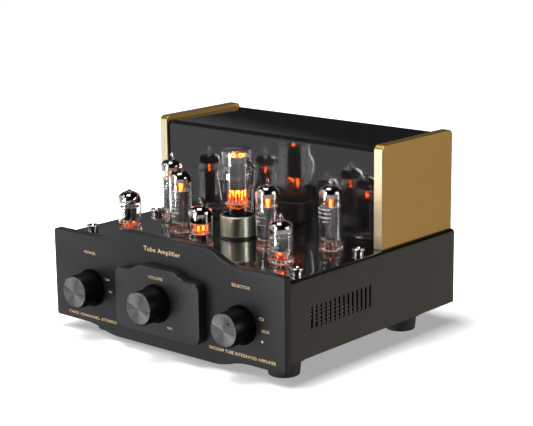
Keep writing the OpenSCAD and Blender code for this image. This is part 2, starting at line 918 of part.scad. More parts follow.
// Octal socket with a raised ring on the deck
module rectifier_socket() {
  color("#181716") seat() translate([0, rectifier_y, deck_z]) difference() {
    union() {
      cylinder(r = octal_ring_r, h = octal_rise);
      translate([0, 0, -14]) cylinder(r = octal_r, h = 14 + octal_rise);
    }
    for (i = [0 : 7])
      rotate([0, 0, 45 * i + 22.5]) translate([octal_circle_r, 0, -15])
        cylinder(r = octal_hole_r, h = 15 + octal_rise + 1, $fn = 24);
    translate([0, 0, -15]) cylinder(r = key_r + gap, h = 15 + octal_rise + 1);
    translate([-1.2, 0, -15]) cube([2.4, key_r + 1.2, 15 + octal_rise + 1]);
  }
}

// ----------------------------------------------------------- under the deck

function board_corners() = [for (x = [-1, 1]) for (y = [board_y0 + 5, board_y1 - 5])
  [x * (board_x - 5), y]];

// Main board with its wireless receiver board hung below the right end
module circuit_board() {
  color("#1f5a36") seat() difference() {
    union() {
      translate([-board_x, board_y0, board_z])
        cube([2 * board_x, board_y1 - board_y0, board_t]);
      translate([70, 74, board_z - 12]) cube([32, 44, board_t]);
      for (y = [78, 114])
        translate([74, y, board_z - 12 + board_t]) cylinder(r = 2, h = 12 - board_t);
    }
    for (p = board_corners())
      translate([p[0], p[1], board_z - 1]) cylinder(r = screw_r + 0.1, h = board_t + 2);
  }
}

// Capacitors, resistors and the receiver's shield can, all below the board
module board_parts() {
  color("#2d3a66") seat() {
    for (x = [-84, -54, -24, 6])
      translate([x, 116, board_z - 40]) cylinder(r = 12.5, h = 40);
    for (x = [-90, -62, -34, 0, 30, 52])
      translate([x, 58, board_z - 13]) cube([11, 26, 13]);
    for (i = [0 : 9])
      translate([-90 + i * 14, 92, board_z - 4]) rotate([0, 90, 0])
        cylinder(r = 2, h = 9, $fn = 24);
    translate([74, 84, board_z - 15]) cube([24, 26, 3]);
  }
}

// Round standoffs between the deck and the board, with their screws
module board_standoffs() {
  color("silver") seat()
    for (p = board_corners())
      translate([p[0], p[1], 0]) {
        translate([0, 0, board_z + board_t]) cylinder(r = 3, h = deck_under - board_z - board_t);
        translate([0, 0, board_z - 2]) cylinder(r = screw_r, h = 2 + board_t);
        translate([0, 0, board_z - 4]) cylinder(r = 2.8, h = 4 - 2);
      }
}

// ---------------------------------------------------------- rear connectors

// Speaker posts: an insulated base, a stud with a plug bore, and a rear nut
module speaker_post_studs() {
  color("#c8a24a") seat()
    for (x = speaker_x) {
      difference() {
        rod_y(x, rear_y - 12, speaker_z, stud_r, sheet + 12 + post_l);
        rod_y(x, whole_back - plug_l, speaker_z, plug_r, plug_l + 1);
      }
      difference() {
        rod_y(x, chassis_back, speaker_z, 6.5, cap_off - 0.5);
        rod_y(x, chassis_back - 1, speaker_z, stud_r, cap_off + 2);
      }
      difference() {
        rod_y(x, rear_y - 4, speaker_z, 6, 4, 6);
        rod_y(x, rear_y - 5, speaker_z, stud_r, 6);
      }
    }
}

// Screw cap of a speaker post, with grip grooves
module post_cap(x, tint) {
  color(tint) seat() difference() {
    translate([x, chassis_back + cap_off, speaker_z]) rotate([-90, 0, 0])
      rotate_extrude() polygon([[0, 0], [cap_r - 0.5, 0], [cap_r, 0.5],
        [cap_r, cap_l - 1.5], [cap_r - 1.5, cap_l], [0, cap_l]]);
    rod_y(x, chassis_back, speaker_z, stud_r + run_gap, post_l + 2);
    for (i = [0 : 11])
      translate([x, 0, speaker_z]) rotate([0, 30 * i, 0])
        rod_y(cap_r + 0.5, chassis_back + cap_off + 2, 0, 1.1, cap_l, 16);
  }
}

module post_cap_left_minus() {
  post_cap(speaker_x[0], "#1c1c1c");
}

module post_cap_left_plus() {
  post_cap(speaker_x[1], "#a01818");
}

module post_cap_right_minus() {
  post_cap(speaker_x[2], "#1c1c1c");
}

module post_cap_right_plus() {
  post_cap(speaker_x[3], "#a01818");
}

// Two pairs of input jacks
module input_jacks() {
  color("#c8a24a") seat()
    for (i = [0, 1])
      for (j = [0, 1])
        translate([-jack_x - i * jack_pitch, 0, jack_z + j * jack_pitch]) difference() {
          union() {
            rod_y(0, rear_y - 8, 0, jack_r - gap, 8 + sheet);
            rod_y(0, chassis_back, 0, 5.6, 1.4);
            rod_y(0, chassis_back, 0, jack_r, jack_l);
            rod_y(0, rear_y - 2.2, 0, 5.4, 2.2, 6);
          }
          rod_y(0, chassis_back + jack_l - 8, 0, jack_bore_r, 9);
        }
}

// Mains inlet: a flanged housing with a recess, three blades and a drawer bay
module mains_inlet() {
  z0 = inlet_z - inlet_h / 2;
  recess_z = z0 + 15;
  color("#1a1a1b") seat() {
    difference() {
      union() {
        translate([inlet_x - inlet_w / 2, chassis_back, z0]) cube([inlet_w, 2, inlet_h]);
        translate([inlet_x - inlet_w / 2 + 2, chassis_back - 24, z0 + 2])
          cube([inlet_w - 4, 24, inlet_h - 4]);
      }
      translate([inlet_x - recess_w / 2, chassis_back + 2 - recess_l, recess_z])
        cube([recess_w, recess_l + 1, recess_h]);
      translate([inlet_x - drawer_w / 2 - gap, chassis_back + 2 - drawer_l - gap, z0 + 4 - gap])
        cube([drawer_w + 2 * gap, drawer_l + 5, drawer_h + 2 * gap]);
    }
    for (p = [[-7, 0], [0, 4], [7, 0]])
      translate([inlet_x + p[0] - 1, chassis_back + 2 - recess_l, recess_z + 5 + p[1]])
        cube([2, 12, 4]);
  }
}

// Fuse drawer: a tray open on top, with a finger lip on its face
module fuse_drawer() {
  z0 = inlet_z - inlet_h / 2 + 4;
  color("#2a2a2c") seat() difference() {
    union() {
      translate([inlet_x - drawer_w / 2, chassis_back + 2 - drawer_l, z0])
        cube([drawer_w, drawer_l, drawer_h]);
      translate([inlet_x - drawer_w / 2, chassis_back + 2, z0 + 1])
        cube([drawer_w, 1.6, 3]);
    }
    translate([inlet_x - drawer_w / 2 + 1.5, chassis_back + 3.5 - drawer_l, z0 + 1.2])
      cube([drawer_w - 3, drawer_l - 4, drawer_h]);
  }
}

// Glass fuse lying across the drawer
module fuse() {
  z0 = inlet_z - inlet_h / 2 + 4;
  color("gainsboro") seat()
    translate([inlet_x - 9.2, chassis_back - 8, z0 + 1.2 + 2.6]) rotate([0, 90, 0])
      cylinder(r = 2.6, h = 18.4, $fn = 32);
}

chassis_shell();
rear_panel();
bottom_cover();
faceplate();
volume_plate();
transformer_cover();
end_plate_left();
end_plate_right();
mains_transformer_core();
mains_transformer_coil();
output_transformer_cores();
output_transformer_coils();
transformer_bolts();
foot_front_left();
foot_front_right();
foot_rear_left();
foot_rear_right();
chassis_screws();
cage_posts();
panel_nuts();
power_knob();
volume_knob();
selector_knob();
power_shaft();
volume_shaft();
selector_shaft();
power_switch();
volume_control();
selector_switch();
preamp_tube_left();
preamp_tube_centre();
preamp_tube_right();
preamp_cage_left();
preamp_cage_centre();
preamp_cage_right();
power_tube_left_outer();
power_tube_left_inner();
power_tube_right_inner();
power_tube_right_outer();
power_cage_left_outer();
power_cage_left_inner();
power_cage_right_inner();
power_cage_right_outer();
rectifier_bulb();
rectifier_cage();
rectifier_base();
tube_sockets();
rectifier_socket();
circuit_board();
board_parts();
board_standoffs();
speaker_post_studs();
post_cap_left_minus();
post_cap_left_plus();
post_cap_right_minus();
post_cap_right_plus();
input_jacks();
mains_inlet();
fuse_drawer();
fuse();
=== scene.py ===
"""Looks of the tube amplifier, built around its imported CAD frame. Lengths in the code are
millimetres until MM turns them into metres; every place comes from the frame's own boxes."""
import json
import math
import random

import bmesh
import bpy
from mathutils import Matrix, Vector
from mathutils.geometry import tessellate_polygon

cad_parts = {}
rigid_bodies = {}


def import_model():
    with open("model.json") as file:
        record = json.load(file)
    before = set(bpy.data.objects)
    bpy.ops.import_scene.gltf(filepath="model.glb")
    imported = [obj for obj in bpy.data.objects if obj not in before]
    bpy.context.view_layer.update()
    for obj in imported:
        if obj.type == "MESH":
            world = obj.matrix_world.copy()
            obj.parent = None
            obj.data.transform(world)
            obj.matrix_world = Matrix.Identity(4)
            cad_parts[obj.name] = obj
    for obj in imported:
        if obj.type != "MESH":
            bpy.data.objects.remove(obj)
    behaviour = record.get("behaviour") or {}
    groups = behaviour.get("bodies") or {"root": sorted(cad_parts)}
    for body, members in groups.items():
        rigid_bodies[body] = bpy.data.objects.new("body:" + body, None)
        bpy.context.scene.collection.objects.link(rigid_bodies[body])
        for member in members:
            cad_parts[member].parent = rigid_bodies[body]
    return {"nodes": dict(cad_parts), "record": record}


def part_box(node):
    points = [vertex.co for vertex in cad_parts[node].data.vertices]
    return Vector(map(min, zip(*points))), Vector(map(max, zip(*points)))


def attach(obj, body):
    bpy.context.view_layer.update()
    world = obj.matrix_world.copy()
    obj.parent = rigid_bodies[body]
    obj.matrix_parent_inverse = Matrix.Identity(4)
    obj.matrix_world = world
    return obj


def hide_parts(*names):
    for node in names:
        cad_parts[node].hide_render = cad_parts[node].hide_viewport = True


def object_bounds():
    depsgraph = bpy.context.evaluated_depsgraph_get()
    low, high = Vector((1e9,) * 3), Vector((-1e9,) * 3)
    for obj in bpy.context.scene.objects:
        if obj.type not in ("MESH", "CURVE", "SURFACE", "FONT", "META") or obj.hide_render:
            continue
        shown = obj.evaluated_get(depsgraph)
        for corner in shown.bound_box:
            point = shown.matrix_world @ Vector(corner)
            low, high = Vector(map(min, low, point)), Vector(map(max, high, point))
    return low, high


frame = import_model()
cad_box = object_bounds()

MM = 0.001
record = frame["record"]
nodes = frame["nodes"]
body_of = {n: b for b, ns in record["behaviour"]["bodies"].items() for n in ns}
lo_all, hi_all = cad_box


# ---- camera
scene = bpy.context.scene
scene.view_settings.view_transform = "Standard"

AZIMUTH, ELEVATION, ROLL = 41.18, 13.14, -0.73
DISTANCE, FOCAL_PX, FRAME_PX, SENSOR = 1.4683, 1537.0, 533, 36
AIM = Vector((0.00885, 0.01131, 0.01526))


def direction(azimuth, elevation):
    """Unit vector from the object towards a place at that azimuth and elevation."""
    a, e = math.radians(azimuth), math.radians(elevation)
    return Vector((math.sin(a) * math.cos(e), -math.cos(a) * math.cos(e), math.sin(e)))


def look(obj, place, target, roll=0.0):
    obj.matrix_world = (Matrix.Translation(place)
                        @ (target - place).to_track_quat("-Z", "Y").to_matrix().to_4x4()
                        @ Matrix.Rotation(math.radians(roll), 4, "Z"))


target = (lo_all + hi_all) / 2 + AIM
camera = bpy.data.objects.new("camera", bpy.data.cameras.new("camera"))
scene.collection.objects.link(camera)
camera.data.sensor_width = SENSOR
camera.data.lens = SENSOR * FOCAL_PX / FRAME_PX
camera.data.clip_start, camera.data.clip_end = 0.05, 50
look(camera, target + DISTANCE * direction(AZIMUTH, ELEVATION), target, ROLL)
scene.camera = camera


# ---- materials
class Nodes:
    """Short ways to add nodes to a tree."""

    def __init__(self, tree):
        self.tree = tree

    def feed(self, socket, value):
        if isinstance(value, bpy.types.NodeSocket):
            self.tree.links.new(value, socket)
        elif isinstance(value, tuple) and len(value) == 3 and socket.type == "RGBA":
            socket.default_value = (*value, 1)
        else:
            socket.default_value = value

    def add(self, kind, inputs=None, **props):
        n = self.tree.nodes.new("ShaderNode" + kind)
        for k, v in props.items():
            setattr(n, k, v)
        for k, v in (inputs or {}).items():
            self.feed(n.inputs[k], v)
        return n


class Finish(Nodes):
    """A Principled material with small helpers for procedural nodes."""

    def __init__(self, name, **values):
        self.material = bpy.data.materials.new(name)
        self.material.use_nodes = True
        super().__init__(self.material.node_tree)
        self.shader = self.tree.nodes["Principled BSDF"]
        self.place = None
        self.set(**values)

    def set(self, **values):
        """Feeds the shader's inputs; an underscore in a name stands for a space."""
        for k, v in values.items():
            self.feed(self.shader.inputs[k.replace("_", " ")], v)

    def at(self, stretch=(1, 1, 1)):
        """Object coordinates in metres, stretched."""
        self.place = self.place or self.add("TexCoord").outputs["Object"]
        return self.add("Mapping", {"Vector": self.place, "Scale": stretch}).outputs[0]

    def height(self):
        return self.add("SeparateXYZ", {"Vector": self.at()}).outputs[2]

    def noise(self, scale, stretch=(1, 1, 1), detail=3.0, rough=0.5):
        return self.add("TexNoise", {"Vector": self.at(stretch), "Scale": scale,
                                     "Detail": detail, "Roughness": rough}).outputs["Fac"]

    def rings(self, along, scale, detail):
        """Noise that changes with one number alone."""
        return self.add("TexNoise", {"W": along, "Scale": scale, "Detail": detail},
                        noise_dimensions="1D").outputs["Fac"]

    def ramp(self, fac, *stops):
        """Colour between two stops; a colour that is one number is a grey."""
        n = self.add("ValToRGB", {"Fac": fac})
        for e, (pos, colour) in zip(n.color_ramp.elements, stops):
            e.position = pos
            e.color = (*colour, 1) if isinstance(colour, tuple) else (colour,) * 3 + (1,)
        return n.outputs["Color"]

    def math(self, operation, a, b=0.0):
        return self.add("Math", {0: a, 1: b}, operation=operation).outputs[0]

    def blend(self, a, b, share):
        """a and b, weighted share to 1 - share."""
        return self.math("ADD", self.math("MULTIPLY", a, share),
                         self.math("MULTIPLY", b, 1 - share))

    def span(self, fac, low, high, lo_in=0.3, hi_in=0.7):
        return self.add("MapRange", {"Value": fac, "From Min": lo_in, "From Max": hi_in,
                                     "To Min": low, "To Max": high}).outputs[0]

    def bump(self, height, depth):
        return self.add("Bump", {"Height": height, "Distance": depth,
                                 "Strength": 1.0}).outputs[0]


def grained(name, dark, light, scale, rough, bump, stretch=(1, 1, 1), **values):
    """Two tones, a roughness range and a bump from one family of noise."""
    f = Finish(name, **values)
    tone = f.noise(scale, stretch)
    fine = f.noise(scale * 3.1, stretch, detail=4)
    f.set(Base_Color=f.ramp(tone, (0.3, dark), (0.7, light)), Roughness=f.span(fine, *rough))
    if bump:
        f.set(Normal=f.bump(fine, bump))
    return f.material


def brushed(name, dark, light, rough, along, bump, spacing=9000, **values):
    """Metal with fine lines along one axis and a slow change of tone."""
    f = Finish(name, **values)
    lines = f.noise(spacing, tuple(0.012 if i == along else 1 for i in range(3)), detail=2)
    both = f.blend(lines, f.noise(14, detail=2), 0.45)
    f.set(Base_Color=f.ramp(both, (0.35, dark), (0.65, light)),
          Roughness=f.span(lines, *rough), Normal=f.bump(lines, bump))
    return f.material


def glass(name, tint):
    """Clear glass that lets the lamps through to what is inside. Its index is below that of
    real glass, so the walls bend and mirror about as much as the photo's thin ones."""
    f = Finish(name, Base_Color=tint, IOR=1.28, Transmission_Weight=1.0)
    f.set(Roughness=f.span(f.noise(60, (1, 1, 0.3)), 0.0, 0.02))
    clear = f.add("BsdfTransparent", {"Color": (0.93, 0.93, 0.93)})
    mix = f.add("MixShader", {"Fac": f.add("LightPath").outputs["Is Shadow Ray"],
                              1: f.shader.outputs[0], 2: clear.outputs[0]})
    f.tree.links.new(mix.outputs[0], f.tree.nodes["Material Output"].inputs["Surface"])
    return f.material


def glowing(name, low, high, strength, scale=900):
    """Uneven orange light from dull to bright: hot metal, and also painted glow caught on wires
    and in the foot of the glass.
    """
    f = Finish(name, Base_Color=(0.05, 0.01, 0.0), Roughness=0.6)
    heat = f.noise(scale, (1, 1, 0.15), detail=2)
    f.set(Emission_Color=f.ramp(heat, (0.3, low), (0.62, high)),
          Emission_Strength=f.span(heat, strength * 0.35, strength))
    return f.material


def streaks(name, centre, height, low, high, strength, share, lines, stretch=0.22):
    """Painted glints: emission that stands in for the light of a hot cathode caught by the metal
    round it, from colour low to high, fading height / 2 above and below centre. share is how
    much of what lies behind they hide."""
    f = Finish(name, Base_Color=(0, 0, 0), Roughness=1.0, Specular_IOR_Level=0.0)
    fac = f.noise(lines, (1, 1, stretch), detail=3, rough=0.6)
    off = f.math("ABSOLUTE", f.math("SUBTRACT", f.height(), centre * MM))
    fade = f.span(off, 1.0, 0.0, height * MM * 0.25, height * MM / 2)
    heat = f.math("MULTIPLY", f.span(fac, 0.0, 1.0, 0.42, 0.68), fade)
    f.set(Emission_Color=f.ramp(heat, (0.15, low), (0.85, high)),
          Emission_Strength=f.span(heat, strength * 0.3, strength, 0.0, 1.0),
          Alpha=f.span(heat, 0.0, share, 0.05, 0.5))
    return f.material


def knob_finish():
    """Turned metal: rings round the axis that spread each lamp into two opposite sectors."""
    f = Finish("knob_black", Metallic=1.0, Anisotropic=0.95)
    p = f.add("SeparateXYZ", {"Vector": f.add("TexCoord").outputs["Generated"]})
    dx, dz = (f.math("SUBTRACT", p.outputs[i], 0.5) for i in (0, 2))
    radius = f.math("SQRT", f.math("ADD", f.math("MULTIPLY", dx, dx),
                                   f.math("MULTIPLY", dz, dz)))
    rings = f.rings(radius, 420.0, 2.0)
    tone = f.blend(rings, f.rings(f.math("ARCTAN2", dz, dx), 5.0, 3.0), 0.4)
    f.set(Base_Color=f.ramp(tone, (0.32, (0.1, 0.098, 0.097)), (0.68, (0.2, 0.197, 0.194))),
          Roughness=f.span(rings, 0.4, 0.48), Normal=f.bump(rings, 3e-6),
          Tangent=f.add("Tangent", direction_type="RADIAL", axis="Y").outputs[0])
    return f.material


def knob_side_finish(name, gloss):
    f = Finish(name, Specular_IOR_Level=gloss)
    rings = f.noise(2600, (0.02, 1, 0.02), detail=2)
    f.set(Base_Color=f.ramp(rings, (0.3, 0.001), (0.7, 0.003)),
          Roughness=f.span(rings, 0.3, 0.42), Normal=f.bump(rings, 4e-6))
    return f.material


def cover_finish():
    """Gloss black paint with a fine crackle."""
    f = Finish("cover_black")
    grain = f.noise(1300, detail=2)
    cells = f.add("TexVoronoi", {"Vector": f.at(), "Scale": 1500.0}).outputs["Distance"]
    both = f.blend(grain, cells, 0.6)
    f.set(Base_Color=f.ramp(grain, (0.35, 0.002), (0.7, (0.016, 0.0155, 0.015))),
          Roughness=f.span(both, 0.03, 0.08), Normal=f.bump(both, 1.5e-6))
    return f.material


def gold_finish(name, dark, light):
    """Satin champagne anodising, brushed upright, with a slow change of tone."""
    f = Finish(name, Metallic=1.0)
    lines = f.noise(5200, (1, 1, 0.01), detail=2)
    both = f.blend(lines, f.noise(11, (1, 1, 0.5), detail=2), 0.3)
    f.set(Base_Color=f.ramp(both, (0.3, dark), (0.7, light)),
          Roughness=f.span(lines, 0.34, 0.44), Normal=f.bump(lines, 5e-6))
    return f.material


def getter_finish():
    """Mirror of barium inside the dome."""
    f = Finish("getter_mirror", Metallic=1.0)
    tone = f.noise(220, (1, 1, 0.5), detail=3)
    f.set(Base_Color=f.ramp(tone, (0.3, (0.1, 0.088, 0.076)), (0.7, (0.2, 0.185, 0.165))),
          Roughness=f.span(tone, 0.03, 0.08))
    return f.material


def print_finish():
    """Worn white printing on the glass: rows of plain specks."""
    f = Finish("worn_print", Base_Color=(0.75, 0.75, 0.76), Roughness=0.5)
    mixed = f.blend(f.noise(1100, (1, 1, 1.3), detail=2), f.noise(160, (1, 1, 0.7), detail=1),
                    0.65)
    wave = f.math("SINE", f.math("MULTIPLY", f.height(), 1650.0))
    f.set(Alpha=f.math("MULTIPLY", f.span(wave, 0.0, 1.0, -0.3, 0.2),
                       f.span(mixed, 0.0, 0.95, 0.51, 0.57)))
    return f.material


M = {
    "faceplate": brushed("faceplate_black", (0.006, 0.006, 0.0066), (0.01, 0.01, 0.011),
                         (0.3, 0.37), 0, 3e-6, Specular_IOR_Level=0.27),
    "plate": brushed("plate_black", (0.0064, 0.0066, 0.0074), (0.0105, 0.0107, 0.012),
                     (0.3, 0.36), 0, 3e-6, Specular_IOR_Level=0.38),
    "core": brushed("core_steel", (0.1, 0.095, 0.09), (0.22, 0.21, 0.2), (0.4, 0.6), 0, 4e-5,
                    2600, Metallic=0.7),
    "winding": brushed("winding", (0.42, 0.25, 0.08), (0.6, 0.4, 0.15), (0.4, 0.6), 0, 3e-5,
                       2400),
    "slats": brushed("slat_grey", 0.003, (0.05, 0.048, 0.045), (0.3, 0.5), 2, 2e-5, 900,
                     Metallic=0.5),
    "glass": glass("tube_glass", (0.97, 0.975, 0.98)),
    "heater": glowing("heater_glow", (1.0, 0.06, 0.003), (1.0, 0.12, 0.007), 110.0),
    "ember": glowing("ember_glow", (0.9, 0.04, 0.004), (1.0, 0.16, 0.02), 3.0),
    "dull": glowing("dull_glow", (0.5, 0.016, 0.003), (0.9, 0.06, 0.008), 0.45, 700),
    "print_white": print_finish(),
    "knob": knob_finish(),
    "knob_side": knob_side_finish("knob_side", 0.14),
    "knob_skirt": knob_side_finish("knob_skirt", 0.015),
    "cover": cover_finish(),
    "gold": gold_finish("gold_plate", (0.44, 0.272, 0.09), (0.505, 0.316, 0.11)),
    # painted highlight: a lighter copy of the gold for the faces that look to the front, where
    # the front lamps fall
    "gold_edge": gold_finish("gold_edge", (0.68, 0.6, 0.39), (0.75, 0.67, 0.45)),
    "getter": getter_finish(),
}
# key: name, dark, light, scale, roughness, bump and other values
METAL = {"Metallic": 1.0}
GRAINED = {
    "chassis": ("chassis_black", (0.004, 0.0038, 0.0036), (0.008, 0.0076, 0.007), 60,
                (0.03, 0.06), 1.2e-6, {}),
    "rubber": ("foot_rubber", 0.01, 0.02, 500, (0.55, 0.8), 2e-5, {}),
    "chrome": ("post_chrome", (0.62, 0.6, 0.57), (0.75, 0.73, 0.7), 90, (0.07, 0.16), 0,
               METAL),
    "steel": ("plated_steel", (0.4, 0.4, 0.41), (0.55, 0.55, 0.56), 300, (0.25, 0.4), 1e-5,
              METAL),
    "cage": ("cage_grey", 0.008, (0.024, 0.023, 0.022), 420, (0.35, 0.6), 3e-5,
             {"Metallic": 0.5}),
    "soot": ("stem_black", 0.001, 0.004, 200, (0.5, 0.7), 0, {"Specular_IOR_Level": 0.05}),
    "wire": ("cage_wire", (0.45, 0.43, 0.4), (0.62, 0.6, 0.56), 400, (0.15, 0.3), 0, METAL),
    "mica": ("mica_disc", (0.07, 0.06, 0.05), (0.14, 0.13, 0.11), 500, (0.2, 0.45), 1e-5,
             {"Coat_Weight": 0.5}),
    "nickel": ("base_nickel", (0.58, 0.61, 0.485), (0.63, 0.66, 0.53), 90, (0.3, 0.35), 0,
               {"stretch": (1, 1, 0.1), "Metallic": 1.0}),
    "ceramic": ("socket_ceramic", (0.016, 0.016, 0.017), (0.026, 0.026, 0.027), 120,
                (0.25, 0.4), 1e-5, {}),
    "bakelite": ("bakelite_black", (0.01, 0.0095, 0.009), (0.022, 0.02, 0.018), 140,
                 (0.18, 0.32), 1e-5, {"Coat_Weight": 0.3}),
    "control": ("control_case", (0.3, 0.29, 0.27), (0.42, 0.41, 0.39), 200, (0.3, 0.5), 2e-5,
                {"Metallic": 0.8}),
    "wafer": ("wafer_brown", (0.16, 0.08, 0.03), (0.26, 0.14, 0.06), 250, (0.4, 0.6), 2e-5, {}),
    "board": ("board_green", (0.01, 0.07, 0.03), (0.02, 0.13, 0.06), 350, (0.25, 0.45), 2e-5,
              {"Coat_Weight": 0.3}),
    "capacitor": ("capacitor_blue", (0.01, 0.02, 0.09), (0.02, 0.04, 0.16), 120, (0.25, 0.4),
                  1e-5, {}),
    "brass": ("gold_brass", (0.75, 0.5, 0.18), (0.9, 0.64, 0.28), 300, (0.12, 0.25), 4e-6,
              METAL),
    "cap_black": ("cap_black", 0.012, 0.022, 200, (0.25, 0.4), 1e-5, {}),
    "cap_red": ("cap_red", (0.28, 0.012, 0.01), (0.42, 0.025, 0.018), 200, (0.25, 0.4), 1e-5,
                {}),
    "inlet": ("inlet_black", 0.01, 0.02, 300, (0.4, 0.55), 2e-5, {}),
    "fuse_glass": ("fuse_glass", (0.5, 0.55, 0.55), (0.7, 0.75, 0.75), 300, (0.05, 0.15), 0,
                   {"Transmission_Weight": 0.6}),
    "print": ("gold_print", (0.62, 0.42, 0.2), (0.78, 0.56, 0.3), 500, (0.35, 0.5), 0,
              {"Metallic": 0.3}),
}
for key, (*row, values) in GRAINED.items():
    M[key] = grained(*row, **values)

# ---- meshes
MERGE = 1e-7


def mesh_from(name, verts, faces, sharp=35.0, smooth=True):
    """A mesh from points in millimetres, with its normals outward and hard edges kept hard."""
    mesh = bpy.data.meshes.new(name)
    mesh.from_pydata([Vector(v) * MM for v in verts], [], faces)
    bm = bmesh.new()
    bm.from_mesh(mesh)
    bmesh.ops.remove_doubles(bm, verts=bm.verts, dist=MERGE)
    bmesh.ops.recalc_face_normals(bm, faces=bm.faces)
    bm.to_mesh(mesh)
    bm.free()
    if smooth:
        mesh.shade_smooth()
        mesh.set_sharp_from_angle(angle=math.radians(sharp))
    return mesh


def hollow(name, outer, inner):
    """A wall between two shells; the normals of the inner one point into the hollow."""
    mesh = mesh_from(name, *joined(outer, inner))
    for p in mesh.polygons[len(outer[1]):]:
        p.flip()
    mesh.update()
    return mesh


def piece(name, mesh, key, body, slot, *replaced):
    obj = bpy.data.objects.new(name, mesh)
    scene.collection.objects.link(obj)
    mesh.materials.clear()
    mesh.materials.append(M[key])
    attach(obj, body)
    if replaced:
        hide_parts(*replaced)
    return obj


def solid(name, parts, key, body, slot, *replaced, at=(0, 0, 0), turn=0.0, **shading):
    """A piece from (points, faces) parts, all turned and then moved to their place."""
    mesh = mesh_from(name, *joined(*[moved(p, *at, turn) for p in parts]), **shading)
    return piece(name, mesh, key, body, slot, *replaced)


def polar(r, degrees):
    a = math.radians(degrees)
    return r * math.cos(a), r * math.sin(a)


def turns(n):
    """n equal steps round a circle, in radians."""
    return [2 * math.pi * i / n for i in range(n)]


def bridge(rings):
    """Quads between each ring of point numbers and the next."""
    return [[a[i], a[(i + 1) % len(a)], b[(i + 1) % len(a)], b[i]]
            for a, b in zip(rings, rings[1:]) for i in range(len(a))]


def lathe(profile, segments=64, origin=(0, 0, 0), axis="z", closed=False):
    """Points and faces of a turned shape. The profile is (radius, height) pairs."""
    verts, faces, rows = [], [], []
    for r, h in profile:
        if r < 1e-6:
            rows.append([len(verts)])
            verts.append((0, 0, h))
        else:
            rows.append(list(range(len(verts), len(verts) + segments)))
            verts += [(r * math.cos(a), r * math.sin(a), h) for a in turns(segments)]
    for a, b in list(zip(rows, rows[1:])) + ([(rows[-1], rows[0])] if closed else []):
        for i in range(segments):
            j = (i + 1) % segments
            quad = [a[i % len(a)], a[j % len(a)], b[j % len(b)], b[i % len(b)]]
            face = [v for k, v in enumerate(quad) if v not in quad[:k]]
            if len(face) > 2:
                faces.append(face)
    if axis == "y":
        verts = [(x, -z, y) for x, y, z in verts]
    return moved((verts, faces), *origin)


def joined(*parts):
    """Several (points, faces) pairs as one."""
    verts, faces = [], []
    for v, f in parts:
        n = len(verts)
        verts += v
        faces += [[i + n for i in face] for face in f]
    return verts, faces


def arc(x, z, r, a0, a1, steps=8):
    return [(x + u, z + v) for u, v in (polar(r, a0 + (a1 - a0) * i / steps)
                                        for i in range(steps + 1))]


def fillet(r, h, inner, up=True, steps=5):
    """Profile points that round an outer edge at radius r and height h."""
    if up:
        return arc(r - inner, h - inner, inner, 0, 90, steps)
    return arc(r - inner, h + inner, inner, -90, 0, steps)


def inset(points, d):
    """The closed outline moved inwards by d."""
    out = []
    for i, point in enumerate(points):
        p, a, b = Vector(point), Vector(points[i - 1]), Vector(points[(i + 1) % len(points)])
        u, v = (p - a).normalized(), (b - p).normalized()
        m = (Vector((-u.y, u.x)) + Vector((-v.y, v.x))).normalized()
        out.append(tuple(p + m * (d / max(0.5, m.dot(Vector((-u.y, u.x)))))))
    return out


def slab(outline, depths, holes=()):
    """A plate from an anticlockwise outline in x and z. depths is (inset, y) pairs from the
    front to the back; holes are outlines that go straight through, with a small chamfer."""
    verts, faces = [], []

    def ring(points, y):
        start = len(verts)
        verts.extend((x, y, z) for x, z in points)
        return list(range(start, start + len(points)))

    outer = [ring(inset(outline, d), y) for d, y in depths]
    faces += bridge(outer)
    inner = []
    y0, y1 = depths[0][1], depths[-1][1]
    for hole in holes:
        inner.append([ring(inset(hole, -0.3), y0), ring(hole, y0 + 0.3), ring(hole, y1)])
        faces += bridge(inner[-1])
    for end in (0, -1):
        rims = [outer[end]] + [rings[end] for rings in inner]
        flat = [i for rim in rims for i in rim]
        for tri in tessellate_polygon([[Vector((verts[i][0], verts[i][2], 0)) for i in rim]
                                       for rim in rims]):
            faces.append([flat[t] for t in tri])
    return verts, faces


def circle(x, z, r):
    return [(x + r * math.cos(a), z + r * math.sin(a)) for a in turns(40)]


def rod(a, b, r, segments=10):
    """A round rod from a to b."""
    a, b = Vector(a), Vector(b)
    q = (b - a).to_track_quat("Z", "Y")
    n = (b - a).length
    verts, faces = lathe([(0, 0), (r, 0), (r, n), (0, n)], segments)
    return [tuple(a + q @ Vector(v)) for v in verts], faces


def wire(points, r, segments=8):
    """A round wire through points, with its ends closed."""
    pts = [Vector(p) for p in points]
    verts, rows, side = [], [], None
    for i, p in enumerate(pts):
        d = (pts[min(i + 1, len(pts) - 1)] - pts[max(i - 1, 0)]).normalized()
        side = d.orthogonal() if side is None else side - d * side.dot(d)
        side.normalize()
        other = d.cross(side)
        rows.append(list(range(len(verts), len(verts) + segments)))
        verts += [tuple(p + r * (math.cos(a) * side + math.sin(a) * other))
                  for a in turns(segments)]
    return verts, bridge(rows) + [rows[0][::-1], rows[-1]]


def pipe(outline, z0, z1, wall, centre=0.0):
    """An upright pipe round an outline; its inner side is the outline shrunk to wall."""
    n = len(outline)
    verts = [(x, y, z) for z in (z0, z1) for x, y in outline]
    verts += [((x - centre) * wall + centre, y * wall, z) for z in (z1, z0) for x, y in outline]
    return verts, bridge([range(n * k, n * k + n) for k in (0, 1, 2, 3, 0)])


def moved(part, dx=0.0, dy=0.0, dz=0.0, turn=0.0):
    c, s = math.cos(math.radians(turn)), math.sin(math.radians(turn))
    return [(x * c - y * s + dx, x * s + y * c + dy, z + dz) for x, y, z in part[0]], part[1]


